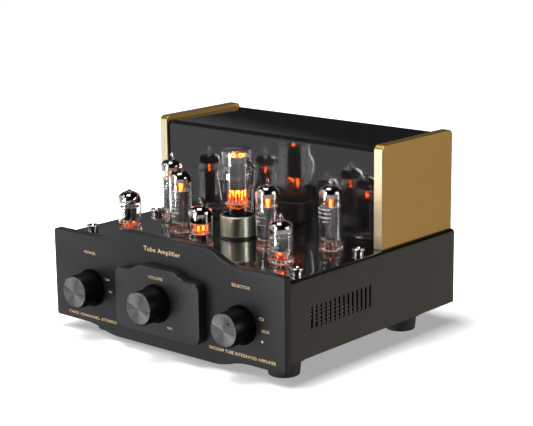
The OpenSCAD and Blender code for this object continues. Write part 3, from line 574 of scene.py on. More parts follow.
def block(x0, y0, z0, x1, y1, z1, edge):
    """A box with bevelled edges."""
    bm = bmesh.new()
    bmesh.ops.create_cube(bm, size=1.0)
    for v in bm.verts:
        v.co = Vector((x0 if v.co.x < 0 else x1, y0 if v.co.y < 0 else y1,
                       z0 if v.co.z < 0 else z1))
    bmesh.ops.bevel(bm, geom=bm.edges[:], offset=edge, segments=2, affect="EDGES", profile=0.5)
    bm.verts.index_update()
    out = [tuple(v.co) for v in bm.verts], [[v.index for v in f.verts] for f in bm.faces]
    bm.free()
    return out


CAD_MERGE, FLAT, HARD = 2e-6, math.radians(0.5), math.radians(32)


def refined(node, name, key, width, slot, segments=2):
    """The CAD node's own mesh as a new piece, with clean faces and rounded edges."""
    mesh = nodes[node].data.copy()
    mesh.name = name
    bm = bmesh.new()
    bm.from_mesh(mesh)
    bmesh.ops.remove_doubles(bm, verts=bm.verts, dist=CAD_MERGE)
    bmesh.ops.dissolve_limit(bm, angle_limit=FLAT, verts=bm.verts, edges=bm.edges,
                             delimit={"NORMAL"})
    bm.to_mesh(mesh)
    bm.free()
    mesh.shade_smooth()
    mesh.set_sharp_from_angle(angle=HARD)
    obj = piece(name, mesh, key, body_of[node], slot, node)
    bevel = obj.modifiers.new("edges", "BEVEL")
    bevel.width = width * MM
    bevel.segments = segments
    bevel.limit_method = "ANGLE"
    bevel.angle_limit = HARD
    bevel.harden_normals = True
    bevel.use_clamp_overlap = True
    return obj


def baked(obj):
    """The mesh of an object with its modifiers applied."""
    bpy.context.view_layer.update()
    return bpy.data.meshes.new_from_object(obj.evaluated_get(
        bpy.context.evaluated_depsgraph_get()))


def box_mm(node):
    lo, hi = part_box(node)
    return lo / MM, hi / MM


def round_box(node):
    """Centre, radius, lowest and highest height of an upright round node, in millimetres."""
    lo, hi = box_mm(node)
    return (lo.x + hi.x) / 2, (lo.y + hi.y) / 2, (hi.x - lo.x) / 2, lo.z, hi.z


# ---- faceplate and plate
def wave(x_in, x_out, rise):
    """Edge from x_out inwards: two equal arcs that climb by rise, flat from x_in."""
    run = x_out - x_in
    r = (run * run + rise * rise) / (4 * rise)
    a = 2 * math.degrees(math.atan(rise / run))
    first = arc(x_out, r, r, 270, 270 - a, 12)
    return first + arc(x_in, rise - r, r, 90 - a + a / 12, 90, 11)


def plate_outline(half_w, z0, z1, r, crown, belly=None):
    """Anticlockwise outline of a plate that is the same on both sides of x = 0."""
    low = [(x, z0 - z) for x, z in reversed(wave(*belly))] if belly else []
    half = (low + arc(half_w - r, z0 + r, r, -90, 0, 6) + arc(half_w - r, z1 - r, r, 0, 90, 6)
            + [(x, z1 + z) for x, z in wave(*crown)])
    return half + [(-x, z) for x, z in reversed(half)]


def front_edge(y):
    """(inset, y) pairs that round the front edge of a plate."""
    return [(0.6, y), (0.3, y + 0.08), (0.08, y + 0.3), (0, y + 0.6)]


# inner and outer x of each wave and its rise
CROWN, BELLY, PLATE_CROWN = (46, 92, 11.7), (60, 104, 7.1), (17, 37, 6.5)
FACE_R, PLATE_R, HOLE_R = 3.0, 8.5, 3.7

shafts = {n: sum(box_mm(n + "_shaft"), Vector()) / 2 for n in ("power", "volume", "selector")}
lo, hi = box_mm("faceplate")
face_front = lo.y
solid("faceplate_panel",
      [slab(plate_outline(hi.x, lo.z + BELLY[2], hi.z - CROWN[2], FACE_R, CROWN, BELLY),
            front_edge(lo.y) + [(0, hi.y - 0.5), (0.4, hi.y)],
            [circle(p.x, p.z, HOLE_R) for p in shafts.values()])],
      "faceplate", "amplifier", "faceplate_black", "faceplate")
lo, hi = box_mm("volume_plate")
plate_front = lo.y
solid("volume_panel",
      [slab(plate_outline(hi.x, lo.z, hi.z - PLATE_CROWN[2], PLATE_R, PLATE_CROWN),
            front_edge(lo.y) + [(0, hi.y)],
            [circle(shafts["volume"].x, shafts["volume"].z, HOLE_R)])],
      "plate", "amplifier", "faceplate_black", "volume_plate")

# ---- panel marks
INK = 0.03


def word(text, x, z, width, height, front):
    """A word that fills width by height, centred on (x, z), as a thin print."""
    curve = bpy.data.curves.new(text, "FONT")
    curve.body = text
    curve.extrude = INK
    curve.resolution_u = 3
    curve.space_character = 1.1
    curve.offset = 0.012
    obj = bpy.data.objects.new(text, curve)
    scene.collection.objects.link(obj)
    mesh = baked(obj)
    xs = [v.co.x for v in mesh.vertices]
    ys = [v.co.y for v in mesh.vertices]
    kx, ky = width / (max(xs) - min(xs)), height / (max(ys) - min(ys))
    cx, cy = (max(xs) + min(xs)) / 2, (max(ys) + min(ys)) / 2
    part = ([((v.co.x - cx) * kx + x, front - v.co.z, (v.co.y - cy) * ky + z)
             for v in mesh.vertices], [list(p.vertices) for p in mesh.polygons])
    bpy.data.objects.remove(obj)
    bpy.data.curves.remove(curve)
    bpy.data.meshes.remove(mesh)
    return part


# text, middle x and z, width, height
FACE_WORDS = (("POWER", -95.5, 80.2, 15.0, 2.7), ("OFF", -73.2, 57.5, 5.6, 2.2),
              ("ON", -69.3, 46.5, 4.2, 2.2), ("SELECTOR", 95.0, 81.0, 21.2, 2.7),
              ("CD", 118.3, 56.1, 5.4, 2.7), ("AUX", 122.7, 45.7, 9.0, 2.7),
              ("Tube Amplifier", 0.0, 96.0, 46.0, 5.6),
              ("TWO CHANNEL STEREO", -95.3, 17.6, 66.0, 2.6),
              ("VACUUM TUBE INTEGRATED AMPLIFIER", 95.0, 19.0, 78.0, 2.9))
PLATE_WORDS = (("VOLUME", 0.0, 74.0, 18.0, 2.8), ("MAX", 16.4, 30.1, 6.2, 2.3))
dot = lathe([(0, -INK), (1.2, -INK), (1.2, INK), (0, INK)], 20, (118.9, face_front, 35.9), "y")
solid("face_marks", [word(*row, face_front) for row in FACE_WORDS] + [dot], "print",
      "amplifier", "faceplate_black", smooth=False)
solid("plate_marks", [word(*row, plate_front) for row in PLATE_WORDS], "print", "amplifier",
      "faceplate_black", smooth=False)

# ---- knobs
KNOB_R, KNOB_BORE, KNOB_SHARP, DIMPLE_AT = 15.7, 3.06, 28, 9


def knob(name, angle=None):
    """Turned knob with a chamfered face, a thin skirt and, at an angle, a drilled dimple."""
    node = name + "_knob"
    lo, hi = box_mm(node)
    x, z = (lo.x + hi.x) / 2, (lo.z + hi.z) / 2
    skirt, r, length = (hi.x - lo.x) / 2, KNOB_R, hi.y - lo.y
    profile = ([(KNOB_BORE, 0), (skirt - 0.4, 0), (skirt, 0.4), (skirt, 1.6),
                (skirt - 0.4, 2.0), (r + 0.3, 2.0), (r, 2.3), (r, length - 1.3),
                (r - 0.15, length - 0.9), (r - 1.1, length - 0.1), (r - 1.4, length)]
               + [(r - 1.4 - k * 1.3, length) for k in range(1, 11)] + [(0, length)]
               + [(0, 15), (KNOB_BORE, 15)])
    obj = solid(node + "_turned", [lathe(profile, 96, (x, hi.y, z), "y", closed=True)], "knob",
                body_of[node], "knob_black", node, sharp=KNOB_SHARP)
    mesh = obj.data
    mesh.materials.append(M["knob_side"])
    mesh.materials.append(M["knob_skirt"])
    for p in mesh.polygons:
        y, rr = p.center.y / MM, math.hypot(p.center.x / MM - x, p.center.z / MM - z)
        if y > hi.y - 2.4 and rr > r - 0.3:
            p.material_index = 2
        elif rr > r - 0.3 or y > lo.y + 0.8 and rr > r - 2:
            p.material_index = 1
    if angle is None:
        return
    dz, dx = polar(DIMPLE_AT, angle)
    cut = mesh_from("cut", *lathe([(0, -1.1), (0.6, -1.0), (0.95, -0.5), (1.15, 0.2), (0, 0.2)],
                                  32, (x + dx, lo.y, z + dz), "y"))
    cut.materials.append(M["knob_side"])
    cutter = bpy.data.objects.new("cutter", cut)
    scene.collection.objects.link(cutter)
    tool = obj.modifiers.new("dimple", "BOOLEAN")
    tool.operation = "DIFFERENCE"
    tool.solver = "EXACT"
    tool.object = cutter
    tool.material_mode = "TRANSFER"
    done = baked(obj)
    obj.modifiers.remove(tool)
    obj.data = done
    done.shade_smooth()
    done.set_sharp_from_angle(angle=math.radians(KNOB_SHARP))
    bpy.data.objects.remove(cutter)


knob("power")
knob("volume")
knob("selector", 40)

# ---- chassis and transformer cover
for row in (("chassis_shell", "chassis_wrap", "chassis", 0.2, "chassis_black"),
            ("rear_panel", "rear_plate", "chassis", 0.15, "chassis_black"),
            ("bottom_cover", "bottom_plate", "chassis", 0.15, "chassis_black"),
            ("transformer_cover", "cover_wrap", "cover", 0.3, "cover_black")):
    refined(*row)
for side in ("left", "right"):
    plate = refined("end_plate_" + side, "gold_plate_" + side, "gold", 0.7, "gold_plate", 3)
    # the faces that look to the front get the lighter copy of the gold: painted highlight
    plate.data.materials.append(M["gold_edge"])
    for p in plate.data.polygons:
        if p.normal.y < -0.9:
            p.material_index = 1

# ---- feet and posts
FOOT_LOW_R, FOOT_TOP_R, FOOT_BORE, FOOT_FLOOR, FOOT_SCREW = 14.1, 15.6, 5.5, 5, 2.1
for name in ("front_left", "front_right", "rear_left", "rear_right"):
    x, y, _, z0, z1 = round_box("foot_" + name)
    h = z1 - z0
    profile = ([(FOOT_SCREW, FOOT_FLOOR), (FOOT_SCREW, 0.9), (4.4, 0.7), (FOOT_LOW_R - 3.2, 0.0)]
               + fillet(FOOT_LOW_R, 0, 1.1, False)
               + [(FOOT_LOW_R + (FOOT_TOP_R - FOOT_LOW_R) * t, t * h) for t in (0.3, 0.6, 0.85)]
               + fillet(FOOT_TOP_R, h, 0.8)
               + [(FOOT_BORE + 0.4, h), (FOOT_BORE, h - 0.4), (FOOT_BORE, FOOT_FLOOR)])
    solid("rubber_foot_" + name, [lathe(profile, 72, (x, y, z0), closed=True)], "rubber",
          "amplifier", "foot_rubber", "foot_" + name)

POST_R, POST_H, POST_BORE = 5.8, 5.0, 2.0
lo, hi = box_mm("cage_posts")
profile = ([(POST_R - 0.9, 0), (POST_R - 0.9, 1.5), (POST_R - 0.5, 1.7)]
           + fillet(POST_R, 1.7, 0.3, False, 3)[1:] + fillet(POST_R, POST_H, 0.6)
           + [(POST_BORE + 0.9, POST_H), (POST_BORE + 0.6, POST_H - 0.15),
              (POST_BORE, POST_H - 0.8), (POST_BORE, 0.5), (0, 0.5)])
stud = [(0, 0), (1.5, 0), (1.5, -5.5), (0, -5.5)]
solid("polished_posts",
      [lathe(shape, segments, (x, y, hi.z - POST_H))
       for x in (lo.x + POST_R, hi.x - POST_R) for y in (lo.y + POST_R, hi.y - POST_R)
       for shape, segments in ((profile, 48), (stud, 16))],
      "chrome", "amplifier", "post_chrome", "cage_posts")


# ---- tubes
def dome(r, z, rise, stop, steps=14):
    """Superellipse quarter from the wall at z up to near the axis."""
    power = 2 / 2.3
    out = []
    for i in range(steps + 1):
        a = math.radians(90 * i / steps)
        x, y = r * math.cos(a) ** power, rise * math.sin(a) ** power
        if x > stop:
            out.append((x, z + y))
    return out


def disc(r, z, t, teeth, depth):
    """A mica disc with notched edge."""
    n = teeth * 6
    radii = [r - depth if i % 6 in (0, 1) else r for i in range(n)]
    verts = [(q * math.cos(a), q * math.sin(a), z + up)
             for up in (0, t) for q, a in zip(radii, turns(n))]
    low, high = list(range(n)), list(range(n, 2 * n))
    return verts, bridge([low, high]) + [low[::-1], high]


def hoop(r, z, step, thick, segments=8):
    """A ring of wire round the axis."""
    return wire([(*polar(r, t), z) for t in range(0, 361, step)], thick, segments)


def straight(r, z0, z1):
    """Points of a straight wall, close enough together for smooth shading."""
    return [(r, z0 + (z1 - z0) * k / 6) for k in range(1, 6)]


PIP, RISE, WALL, GAP = 6.5, 8.5, 0.8, 0.12


def noval(name, kind, cage, mica_low, mica_high, getter_low, turn, marks):
    """A nine-pin tube: shell of glass, mirror in its dome, electrodes, pins and worn print.
    marks is (low, high, start, stop): heights and compass angles of the printed patch."""
    tag, node = kind + "_" + name, kind + "_tube_" + name
    body = body_of[node]
    x, y, r, z0, z1 = round_box(node)
    o, h = (x, y, z0), z1 - z0
    zs, neck = h - PIP - RISE, h - PIP
    outer = ([(0, 1.1), (7.6, 1.1), (9.2, 0.3), (10.0, 0.0), (r - 0.35, 0.3), (r, 1.3)]
             + straight(r, 1.3, zs) + dome(r, zs, RISE, 3.3)
             + [(2.7, neck + 0.1), (2.1, neck + 0.7), (1.7, neck + 1.6), (1.45, neck + 2.8),
                (1.3, h - 2.6), (1.05, h - 1.1), (0.6, h - 0.25), (0, h)])
    inner = ([(0, 3.4), (7.4, 3.4), (r - 1.9, 3.8), (r - WALL, 5.4)]
             + straight(r - WALL, 5.4, zs) + dome(r - WALL, zs, RISE - WALL, 1.6)
             + [(0, neck - WALL - 0.05)])
    piece(tag + "_glass", hollow(tag, lathe(outer, 56, o), lathe(inner, 56, o)), "glass", body,
          "tube_glass", node)
    g = r - WALL - GAP
    skin = ([(g, getter_low), (g, getter_low + (zs - getter_low) / 2)]
            + dome(g, zs, RISE - WALL - GAP, 0.9) + [(0, neck - WALL - 0.2)])
    under = [(0, neck - WALL - 0.5)] + [(x * 0.985, z - 0.1) for x, z in reversed(skin[:-1])]
    solid(tag + "_getter", [lathe(skin + under, 56, closed=True)], "getter", body, "cage_grey",
          at=o, sharp=50)
    solid(tag + "_plates", cage, "cage", body, "cage_grey", kind + "_cage_" + name, at=o,
          turn=turn)
    # painted reflection: two thin rings of dull glow at the foot of the glass stand in for the
    # tube's glow caught in its base
    solid(tag + "_rim", [hoop(10.1, z, 12, 0.14, 6) for z in (1.5, 4.6)], "dull", body,
          "cage_grey", at=o)
    solid(tag + "_mica", [disc(r - 1.5, z, 0.35, 12, 0.5) for z in (mica_low, mica_high)],
          "mica", body, "cage_grey", at=o, smooth=False)
    pins = []
    for i in range(9):
        x, y = polar(5.95, turn + 54 + 36 * i)
        k = 0.9 if i % 2 else 0.55
        pins.append(lathe([(0, -6.5), (0.3, -6.3), (0.5, -5.7), (0.5, 3.6), (0, 3.6)], 14,
                          (x, y, 0)))
        pins.append(wire([(x, y, 3.5), (x, y, 5.5), (x * k, y * k, 8.0),
                          (x * k, y * k, mica_low - 0.1)], 0.28, 7))
    for s in (-1, 1):
        x, y = polar(s * 6.0, turn)
        pins.append(rod((x, y, mica_low), (x, y, mica_high + 2.2), 0.5))
    pins.append(hoop(3.4, neck - 4.5, 20, 0.45))
    pins.append(rod((0, 3.4, mica_high), (0, 3.4, neck - 4.5), 0.3))
    solid(tag + "_pins", pins, "wire", body, "plated_steel", at=o)
    low, high, start, stop = marks
    n = 24
    solid(tag + "_print",
          [([(*polar(r + 0.04, start + (stop - start) * i / n), z)
             for z in (low, high) for i in range(n + 1)],
            [[i, i + 1, n + 2 + i, n + 1 + i] for i in range(n)])],
          "print_white", body, "tube_glass", at=o)
    return tag, body, o, turn


def power_plates():
    """Ribbed anode with two wings, between two pairs of rods."""
    z0, z1 = 10.4, 40.0
    ribs = [1 + 0.05 * math.cos(8 * a) for a in turns(40)]
    parts = [pipe([(7.0 * k * math.cos(a), 5.0 * k * math.sin(a))
                   for k, a in zip(ribs, turns(40))], z0, z1, 0.93)]
    for s in (-1, 1):
        parts.append(block(6.7 if s > 0 else -9.0, -0.3, z0, 9.0 if s > 0 else -6.7, 0.3, z1,
                           0.1))
        for z in (z0 + 4, (z0 + z1) / 2, z1 - 4):
            parts.append(block(s * 8.2 - 0.9, -0.75, z - 0.8, s * 8.2 + 0.9, 0.75, z + 0.8, 0.2))
    for z in range(5):
        z = z0 + 3 + z * 6
        parts.append(lathe([(5.2, z), (5.35, z + 0.3), (5.2, z + 0.6), (4.9, z + 0.6),
                            (4.9, z)], 32, closed=True))
    return parts + [rod((x, y, z0 - 1.0), (x, y, z1 + 4.0), 0.4, 8)
                    for y in (-2.4, 2.4) for x in (-2.2, 2.2)]


PREAMP_Z0, PREAMP_X = 11.6, 4.0


def preamp_plates():
    """Two small folded anodes side by side, with flanges."""
    parts = []
    z0, z1 = PREAMP_Z0, 23.4
    for s in (-PREAMP_X, PREAMP_X):
        parts.append(pipe([(s + 2.9 * math.cos(a), 3.6 * math.sin(a)) for a in turns(28)],
                          z0, z1, 0.9, s))
        for y in (-1, 1):
            parts.append(block(s - 0.25, y * 3.5 - (0.1 if y > 0 else 1.8), z0 + 0.5,
                               s + 0.25, y * 3.5 + (1.8 if y > 0 else 0.1), z1 - 0.5, 0.1))
        parts += [rod((s, y, z0 - 1.2), (s, y, z1 + 2.6), 0.3, 8) for y in (-1.6, 1.6)]
    parts.append(block(-0.15, -5.5, z0 + 1, 0.15, 5.5, z1 - 1, 0.05))
    return parts


def inside(place, *groups):
    """Pieces of one tube, each from a suffix, a material key and its parts."""
    tag, body, o, turn = place
    for suffix, key, parts in groups:
        solid(tag + suffix, parts, key, body, "cage_grey", at=o, turn=turn)


def glow_collar(place, suffix, r, z0, z1, key):
    """A round sheet that carries the painted glints of a streaks material."""
    sheet = lathe([(r, z0 + (z1 - z0) * k / 6) for k in range(7)], 48)
    inside((*place[:3], 0), (suffix, key, [sheet]))


def loops(r, z, count, rise, seed):
    """Bent wires round the foot of the electrodes, made to give light: painted glints of the
    tube's glow caught on them.
    """
    rng = random.Random(seed)
    out = []
    for i in range(count):
        a = 2 * math.pi * (i + rng.uniform(-0.2, 0.2)) / count
        b = a + rng.uniform(0.5, 1.1)
        q = r * rng.uniform(0.7, 1.0)
        out.append(wire([(q * k * math.cos(t), q * k * math.sin(t), z + rise * up)
                         for k, t, up in ((1, a, 1), (1.05, a, 0.45), (1, (a + b) / 2, 0),
                                          (1, b, 0.3))], 0.2, 6))
    return out


base_z = box_mm("power_tube_left_outer")[0].z
# painted glints: emissive sheets round the hot cathodes stand in for their light caught by the
# plates and wires
# height above the tubes' foot, height of the glow, its colours and the rest of streaks()
for key, z, height, *rest in (
        ("power_core", 45.2, 8.5, (1.0, 0.05, 0.004), (1.0, 0.2, 0.02), 4.0, 0.9, 700, 0.3),
        ("power_halo", 45.4, 9.5, (0.7, 0.02, 0.003), (1.0, 0.13, 0.02), 0.9, 0.4, 650),
        ("low_wires", 6.0, 11, (0.7, 0.04, 0.005), (1.0, 0.13, 0.02), 0.9, 0.5, 800, 0.6),
        ("centre_glow", 18.0, 10, (0.9, 0.06, 0.005), (1.0, 0.26, 0.03), 2.4, 0.8, 600, 0.6)):
    M[key] = streaks(key, base_z + z, height, *rest)

# name, turn of the electrodes, printed patch
POWER = (("left_outer", 30, (22, 46, -150, -40)), ("left_inner", 200, (16, 42, -140, -62)),
         ("right_inner", 75, (24, 40, -150, -60)), ("right_outer", 130, (24, 41, -150, -50)))
for name, turn, marks in POWER:
    place = noval(name, "power", power_plates(), 9.4, 40.4, 49.0, turn, marks)
    core = [lathe([(0, 41.0), (0.9, 41.0), (0.9, 44.8), (0.5, 45.6), (0, 45.6)], 20)]
    core += [wire([(x * 0.3, 0, 44.8), (x * 0.7, 0.2, 47.4), (x, 0, 44.6), (x, 0, 41.4)], 0.3, 6)
             for x in (-1.4, 1.4)]
    inside(place, ("_heater", "heater", core),
           ("_ember", "ember", [rod((0.5, 0.4, 6.6), (0.5, 0.4, 9.4), 0.6, 12)]),
           ("_wires", "dull", loops(5.4, 3.4, 6, 5.5, turn)))
    glow_collar(place, "_glow_core", 2.6, 40.9, 47.8, "power_core")
    glow_collar(place, "_glow_halo", 5.0, 40.9, 49.6, "power_halo")

for name, turn, marks in (("left", 20, (9, 25, -150, -70)), ("right", 110, (9, 26, -150, -60))):
    place = noval(name, "preamp", preamp_plates(), 10.8, 23.8, 28.2, turn, marks)
    core, foot, top = [], [], []
    for s in (-1, 1):
        at = (s * PREAMP_X, 0, 0)
        core.append(lathe([(0, 8.8), (0.7, 8.8), (0.7, 10.8), (0, 10.8)], 16, at))
        foot.append(wire([(s * 4.0, 0, 8.8), (s * 3.4, 0.6, 6.6), (s * 2.6, 1.6, 5.0)], 0.3, 6))
        top.append(lathe([(0, 24.2), (0.6, 24.2), (0.6, 25.0), (0, 25.2)], 16, at))
    inside(place, ("_heater", "heater", core),
           ("_ember", "ember", foot + loops(6.2, 4.4, 5, 5.4, turn)),
           ("_wires", "dull", top + loops(7.4, 3.6, 6, 6.0, turn + 1)))
    glow_collar(place, "_glow_low", 6.4, 3.6, 10.6, "low_wires")

# the middle preamp tube holds a shorter system that glows above its plates
short = [([(x, y, 2.2 + (z - PREAMP_Z0) * 0.85) for x, y, z in verts], faces)
         for verts, faces in preamp_plates()]
place = noval("centre", "preamp", short, 12.6, 22.6, 23.8, 75, (4, 12, -150, -60))
core = [lathe([(0, 15.0), (0.8, 15.0), (0.8, 19.0), (0, 19.6)], 16, (x, 0, 0))
        for x in (-2.6, 2.6)]
inside(place, ("_heater", "heater", core), ("_ember", "ember", loops(6.0, 13.6, 6, 7.0, 5)),
       ("_wires", "dull", loops(7.0, 3.4, 5, 6.0, 9)))
glow_collar(place, "_glow_mid", 7.0, 13.2, 22.6, "centre_glow")

# ---- rectifier
RECT_TURN = 38
PLATE_Z0, PLATE_Z1 = 31.8, 63.2
body = body_of["rectifier_bulb"]
x, y, r, z0, z1 = round_box("rectifier_bulb")
o, h = (x, y, z0), z1 - z0
neck, seat, top_r, wall = 13.6, 15.5, 15.0, 1.0
cap = h - 4.8
KNOTS = [(seat, 8), (seat + 0.8, 14), (r - 2.3, 31), (r - 1.1, 38), (r - 0.2, 43), (r, 46),
         (r - 0.5, 49.5), (r - 2.3, 53), (top_r + 0.6, 56.5), (top_r, 59.5), (top_r, cap)]


def bulb(d):
    """Profile of the shouldered bulb, d inside its surface, with a smooth curve by KNOTS."""
    pts = [(0, d), (neck - d - 1, d), (neck - d, d + 1), (seat - d, 5), (seat - d, 8)]
    for k in range(len(KNOTS) - 1):
        span = [KNOTS[min(max(k + i, 0), len(KNOTS) - 1)] for i in (-1, 0, 1, 2)]
        for t in (0.25, 0.5, 0.75, 1.0):
            q = [0.5 * (2 * b + (c - a) * t + (2 * a - 5 * b + 4 * c - e) * t * t
                        + (3 * b - a - 3 * c + e) * t ** 3) for a, b, c, e in zip(*span)]
            pts.append((min(q[0], r) - d, q[1]))
    return pts + dome(top_r - d, cap, h - cap - d, 0.3, 12)[1:] + [(0, h - d)]


piece("rectifier_glass",
      hollow("rectifier", lathe(bulb(0), 72, o), lathe(bulb(wall), 72, o)), "glass", body,
      "tube_glass", "rectifier_bulb")
z0, z1 = PLATE_Z0, PLATE_Z1
slats = [block(-7.0, -5.2, z0, 7.0, 5.2, z1, 0.8)]
slats += [rod((k * 1.62, w, z0 + 0.5), (k * 1.62, w, z1 - 0.5), 0.5 if k % 2 else 0.28, 8)
          for k in range(-4, 5) for w in (-5.3, 5.3)]
slats += [block(x - 1.3, -0.35, z0 + 1, x + 1.3, 0.35, z1 - 1, 0.15) for x in (-8.2, 8.2)]
solid("rectifier_plates", slats, "slats", body, "cage_grey", "rectifier_cage", at=o,
      turn=RECT_TURN)
solid("rectifier_mica", [disc(12.4, 18.9, 0.5, 16, 0.7), disc(11.4, z1 + 0.6, 0.5, 16, 0.7)],
      "mica", body, "cage_grey", at=o, smooth=False)
wires = [rod((s * 7.6, 0, 6), (s * 7.6, 0, z1 + 2.4), 0.6) for s in (-1, 1)]
wires += [wire([(7.6, 0, z), (10.4, -1.6, z + 0.4), (13.0, -3.8, z + 0.6 + k)], 0.42)
          for z, k in ((z0 + 19.5, 1.0), (z0 + 27.5, -0.4))]
wires += [rod((x, y, 12), (x, y, z0), 0.35) for x in (6.4, -6.4) for y in (-4.4, 4.4)]
solid("rectifier_supports", wires, "wire", body, "plated_steel", at=o, turn=RECT_TURN)
solid("rectifier_stem",
      [lathe([(0, 1.2), (7.4, 1.2), (6.6, 8), (6.0, 13.0), (4.6, 15.6), (0, 16.2)], 32),
       lathe([(0, 2.3), (12.2, 2.3), (14.1, 5.2), (14.1, 8.4), (13.9, 8.4), (13.9, 5.3),
              (12.0, 2.5), (0, 2.5)], 48)], "soot", body, "bakelite_black", at=o)

# each hot strand's place, the height of its foot in front, and its lean
STRANDS = ((-7.2, 24.5, 0.7), (-4.4, 26.0, -0.5), (-1.5, 24.0, 0.9), (1.4, 25.0, -0.8),
           (4.2, 22.0, 0.4), (7.0, 25.5, -0.6))
hot, dull = [], []
for k, (u, front_low, lean) in enumerate(STRANDS):
    for w, low in ((-2.6, front_low), (2.6, z0 - 4.6)):
        hot.append(wire([(u, w, z0 - 0.3 - 0.5 * (k % 3)), (u + lean, w * 1.1, z0 - 2.8),
                         (u - lean, w, low + 1.6), (u * 0.96, w, low)],
                        0.4 if k % 2 else 0.28, 8))
        dull.append(wire([(u * 0.96, w, low), (u * 1.1, w * 1.2, low - 3),
                          (u * 1.2, w * 1.3, 19.6)], 0.34, 8))
hot += [wire([(x - 2.6, 0.5, z1 + 1.2), (x, 0.2, z1 + 3.0), (x + 2.6, -0.5, z1 + 1.2)], 0.5, 8)
        for x in (-3.6, 3.6)]
place = ("rectifier", body, o, RECT_TURN)
inside(place, ("_filament", "heater", hot),
       ("_wires", "ember", dull + loops(9.0, 14.6, 7, 4.0, 3)))
# painted glints round the rectifier's filament, on emissive sheets of the streaks material
for name, r, low, high, z, height, *rest in (
        ("mid", 9.8, 19.6, 31.6, 25.6, 15, (1.0, 0.03, 0.003), (1.0, 0.16, 0.012), 1.3, 0.7,
         520, 0.9),
        ("low", 10.6, 14.8, 18.8, 17.6, 6, (0.8, 0.05, 0.004), (1.0, 0.2, 0.02), 1.4, 0.7,
         500, 0.8),
        ("top", 8.0, 64.6, 68.2, 66.4, 4.5, (0.9, 0.04, 0.004), (1.0, 0.15, 0.02), 1.0, 0.5,
         500, 0.6)):
    M["rect_" + name] = streaks("rectifier_" + name, o[2] + z, height, *rest)
    glow_collar(place, "_glow_" + name, r, low, high, "rect_" + name)

x, y, r, _, top = round_box("rectifier_base")
seat = box_mm("rectifier_socket")[1].z
ring = 0.9
zt = top - seat
o = (x, y, seat)
solid("rectifier_sleeve",
      [lathe([(r - 1.3, ring), (r - 0.3, ring), (r, ring + 0.35), (r, zt - 1.1)]
             + fillet(r, zt, 0.9) + [(r - 1.1, zt), (r - 1.3, zt - 0.3)], 96, closed=True)],
      "nickel", body, "base_nickel", "rectifier_base", at=o)
solid("rectifier_bottom",
      [lathe([(0, 0), (r - 0.7, 0), (r - 0.15, 0.3), (r - 0.15, ring), (r - 1.5, ring),
              (r - 1.5, 11.6), (0, 11.6)], 72),
       lathe([(0, -13), (2.6, -13), (3.7, -11.5), (3.9, 0), (0, 0)], 32),
       block(-0.7, 3.2, -12.5, 0.7, 4.6, 0, 0.2)], "bakelite", body, "bakelite_black", at=o)
solid("rectifier_pins",
      [lathe([(0, -11), (0.7, -10.8), (1.17, -9.8), (1.17, 0.3), (0, 0.3)], 20,
             (*polar(8.7, 22.5 + 45 * i), 0)) for i in range(8)],
      "wire", body, "plated_steel", at=o)

# ---- rear fittings
for side, colour in (("left_minus", "cap_black"), ("left_plus", "cap_red"),
                     ("right_minus", "cap_black"), ("right_plus", "cap_red")):
    refined("post_cap_" + side, "terminal_cap_" + side, colour, 0.3, colour)
for row in (("speaker_post_studs", "terminal_studs", "brass", 0.12, "gold_brass"),
            ("input_jacks", "input_sockets", "brass", 0.12, "gold_brass"),
            ("mains_inlet", "inlet_housing", "inlet", 0.3, "inlet_black"),
            ("fuse_drawer", "inlet_drawer", "inlet", 0.2, "inlet_black"),
            ("chassis_screws", "small_screws", "steel", 0.12, "plated_steel")):
    refined(*row)

# CAD nodes whose shape already serves get their own finish
KEPT = {
    "core": ("mains_transformer_core", "output_transformer_cores"),
    "winding": ("mains_transformer_coil", "output_transformer_coils"),
    "steel": ("transformer_bolts", "panel_nuts", "power_shaft", "volume_shaft",
              "selector_shaft", "board_standoffs"),
    "control": ("power_switch", "volume_control"), "wafer": ("selector_switch",),
    "ceramic": ("tube_sockets", "rectifier_socket"), "board": ("circuit_board",),
    "capacitor": ("board_parts",), "fuse_glass": ("fuse",),
}
for key, kept in KEPT.items():
    for node in kept:
        mesh = nodes[node].data
        if not mesh.materials:
            mesh.materials.append(M[key])
        for i in range(len(mesh.materials)):
            mesh.materials[i] = M[key]

# ---- floor and light
FLOOR_R = 9.0
# painted shade: the floor glows faintly under this half box and fully from FADE beyond it, a
# darker pool painted round the object so that the shadow stays near it
HALF_BOX, FADE, PAINTED_SHADE_GLOW = (0.145, 0.126, 0), 0.05, 0.36
floor_mesh = bpy.data.meshes.new("floor")
ring = [(FLOOR_R * math.cos(a), FLOOR_R * math.sin(a), lo_all.z) for a in turns(96)]
floor_mesh.from_pydata(ring, [], [list(range(len(ring)))])
floor = bpy.data.objects.new("floor", floor_mesh)
scene.collection.objects.link(floor)
paper = Finish("floor_paper", Base_Color=(0.86, 0.86, 0.86), Roughness=0.9,
               Specular_IOR_Level=0.0, Emission_Color=(1, 1, 1))
away = paper.add("VectorMath", {0: paper.at()}, operation="ABSOLUTE").outputs[0]
away = paper.add("VectorMath", {0: away, 1: HALF_BOX}, operation="SUBTRACT").outputs[0]
away = paper.add("VectorMath", {0: away}, operation="MAXIMUM").outputs[0]
far = paper.add("VectorMath", {0: away}, operation="LENGTH").outputs["Value"]
# painted shade: the floor's glow rises from a dim level near the object to full at FADE beyond
# its half box
paper.set(Emission_Strength=paper.span(far, PAINTED_SHADE_GLOW, 1.0, 0.0, FADE))
floor_mesh.materials.append(paper.material)
floor.visible_glossy = False
floor.visible_shadow = False

LAMP_DISTANCE = 1.9


def softbox(name, azimuth, elevation, width, height, radiance, colour=(1, 1, 1),
            distance=LAMP_DISTANCE):
    data = bpy.data.lights.new(name, "AREA")
    data.shape = "RECTANGLE"
    data.size, data.size_y = width, height
    data.energy = radiance * math.pi * width * height
    data.color = colour
    obj = bpy.data.objects.new(name, data)
    scene.collection.objects.link(obj)
    middle = (lo_all + hi_all) / 2
    look(obj, middle + distance * direction(azimuth, elevation), middle)
    obj.visible_camera = False
    return obj


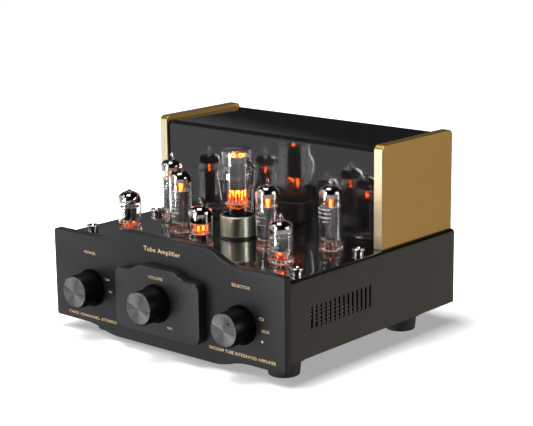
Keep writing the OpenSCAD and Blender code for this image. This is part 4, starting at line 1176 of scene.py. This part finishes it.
WARM = (1.0, 0.99, 0.97)
softbox("key_strip", -12, 10, 0.8, 2.0, 4.5, WARM).visible_diffuse = False
softbox("key_left", -52, 38, 1.0, 0.9, 6.5, WARM).visible_glossy = False
softbox("right_box", 99, 17, 0.85, 0.75, 9.0, (1.0, 0.98, 0.95)).visible_diffuse = False
softbox("overhead", -60, 80, 0.8, 0.7, 17.0, distance=1.7)

# two strips that light the glassware alone, for the long streaks in the tubes
glassware = bpy.data.collections.new("glassware")
for obj in list(scene.objects):
    if obj.name.endswith("_glass"):
        glassware.objects.link(obj)
for row in (("streak_left", -14, 6, 0.70, 1.7, 60.0), ("streak_right", 112, 6, 0.25, 1.7, 40.0)):
    strip = softbox(*row)
    strip.visible_diffuse = False
    strip.light_linking.receiver_collection = glassware

world = bpy.data.worlds.new("studio")
scene.world = world
world.use_nodes = True
studio = Nodes(world.node_tree)
facing = studio.add("TexCoord").outputs["Generated"]


def lobe(azimuth, elevation, edge, full, colour):
    """A soft pool of light round one direction, as colour on black: full within one angle
    from it and gone at the edge."""
    aim = studio.add("VectorMath", {0: facing, 1: direction(azimuth, elevation)},
                     operation="DOT_PRODUCT")
    ramp = studio.add("ValToRGB", {"Fac": aim.outputs["Value"]})
    ramp.color_ramp.interpolation = "EASE"
    for stop, angle, tone in zip(ramp.color_ramp.elements, (edge, full), ((0, 0, 0), colour)):
        stop.position = math.cos(math.radians(angle))
        stop.color = (*tone, 1)
    return ramp.outputs["Color"]


sky = (0.012, 0.012, 0.0125)
for row in ((-43, -20, 50, 26, (0.94, 0.96, 1.02)), (139, -16, 48, 12, (0.62, 0.56, 0.47)),
            (230, 20.5, 13.8, 5, (0.2, 0.2, 0.205)), (-72, 12, 28, 12, (1.0, 0.985, 0.93)),
            (-140, -22, 26, 12, (0.42, 0.4, 0.36))):
    sky = studio.add("VectorMath", {0: lobe(*row), 1: sky}, operation="ADD").outputs[0]
# the camera itself sees plain white
seen = studio.add("Mix", {"Factor": studio.add("LightPath").outputs["Is Camera Ray"],
                          6: sky, 7: (1, 1, 1, 1)}, data_type="RGBA")
studio.feed(world.node_tree.nodes["Background"].inputs["Color"], seen.outputs[2])
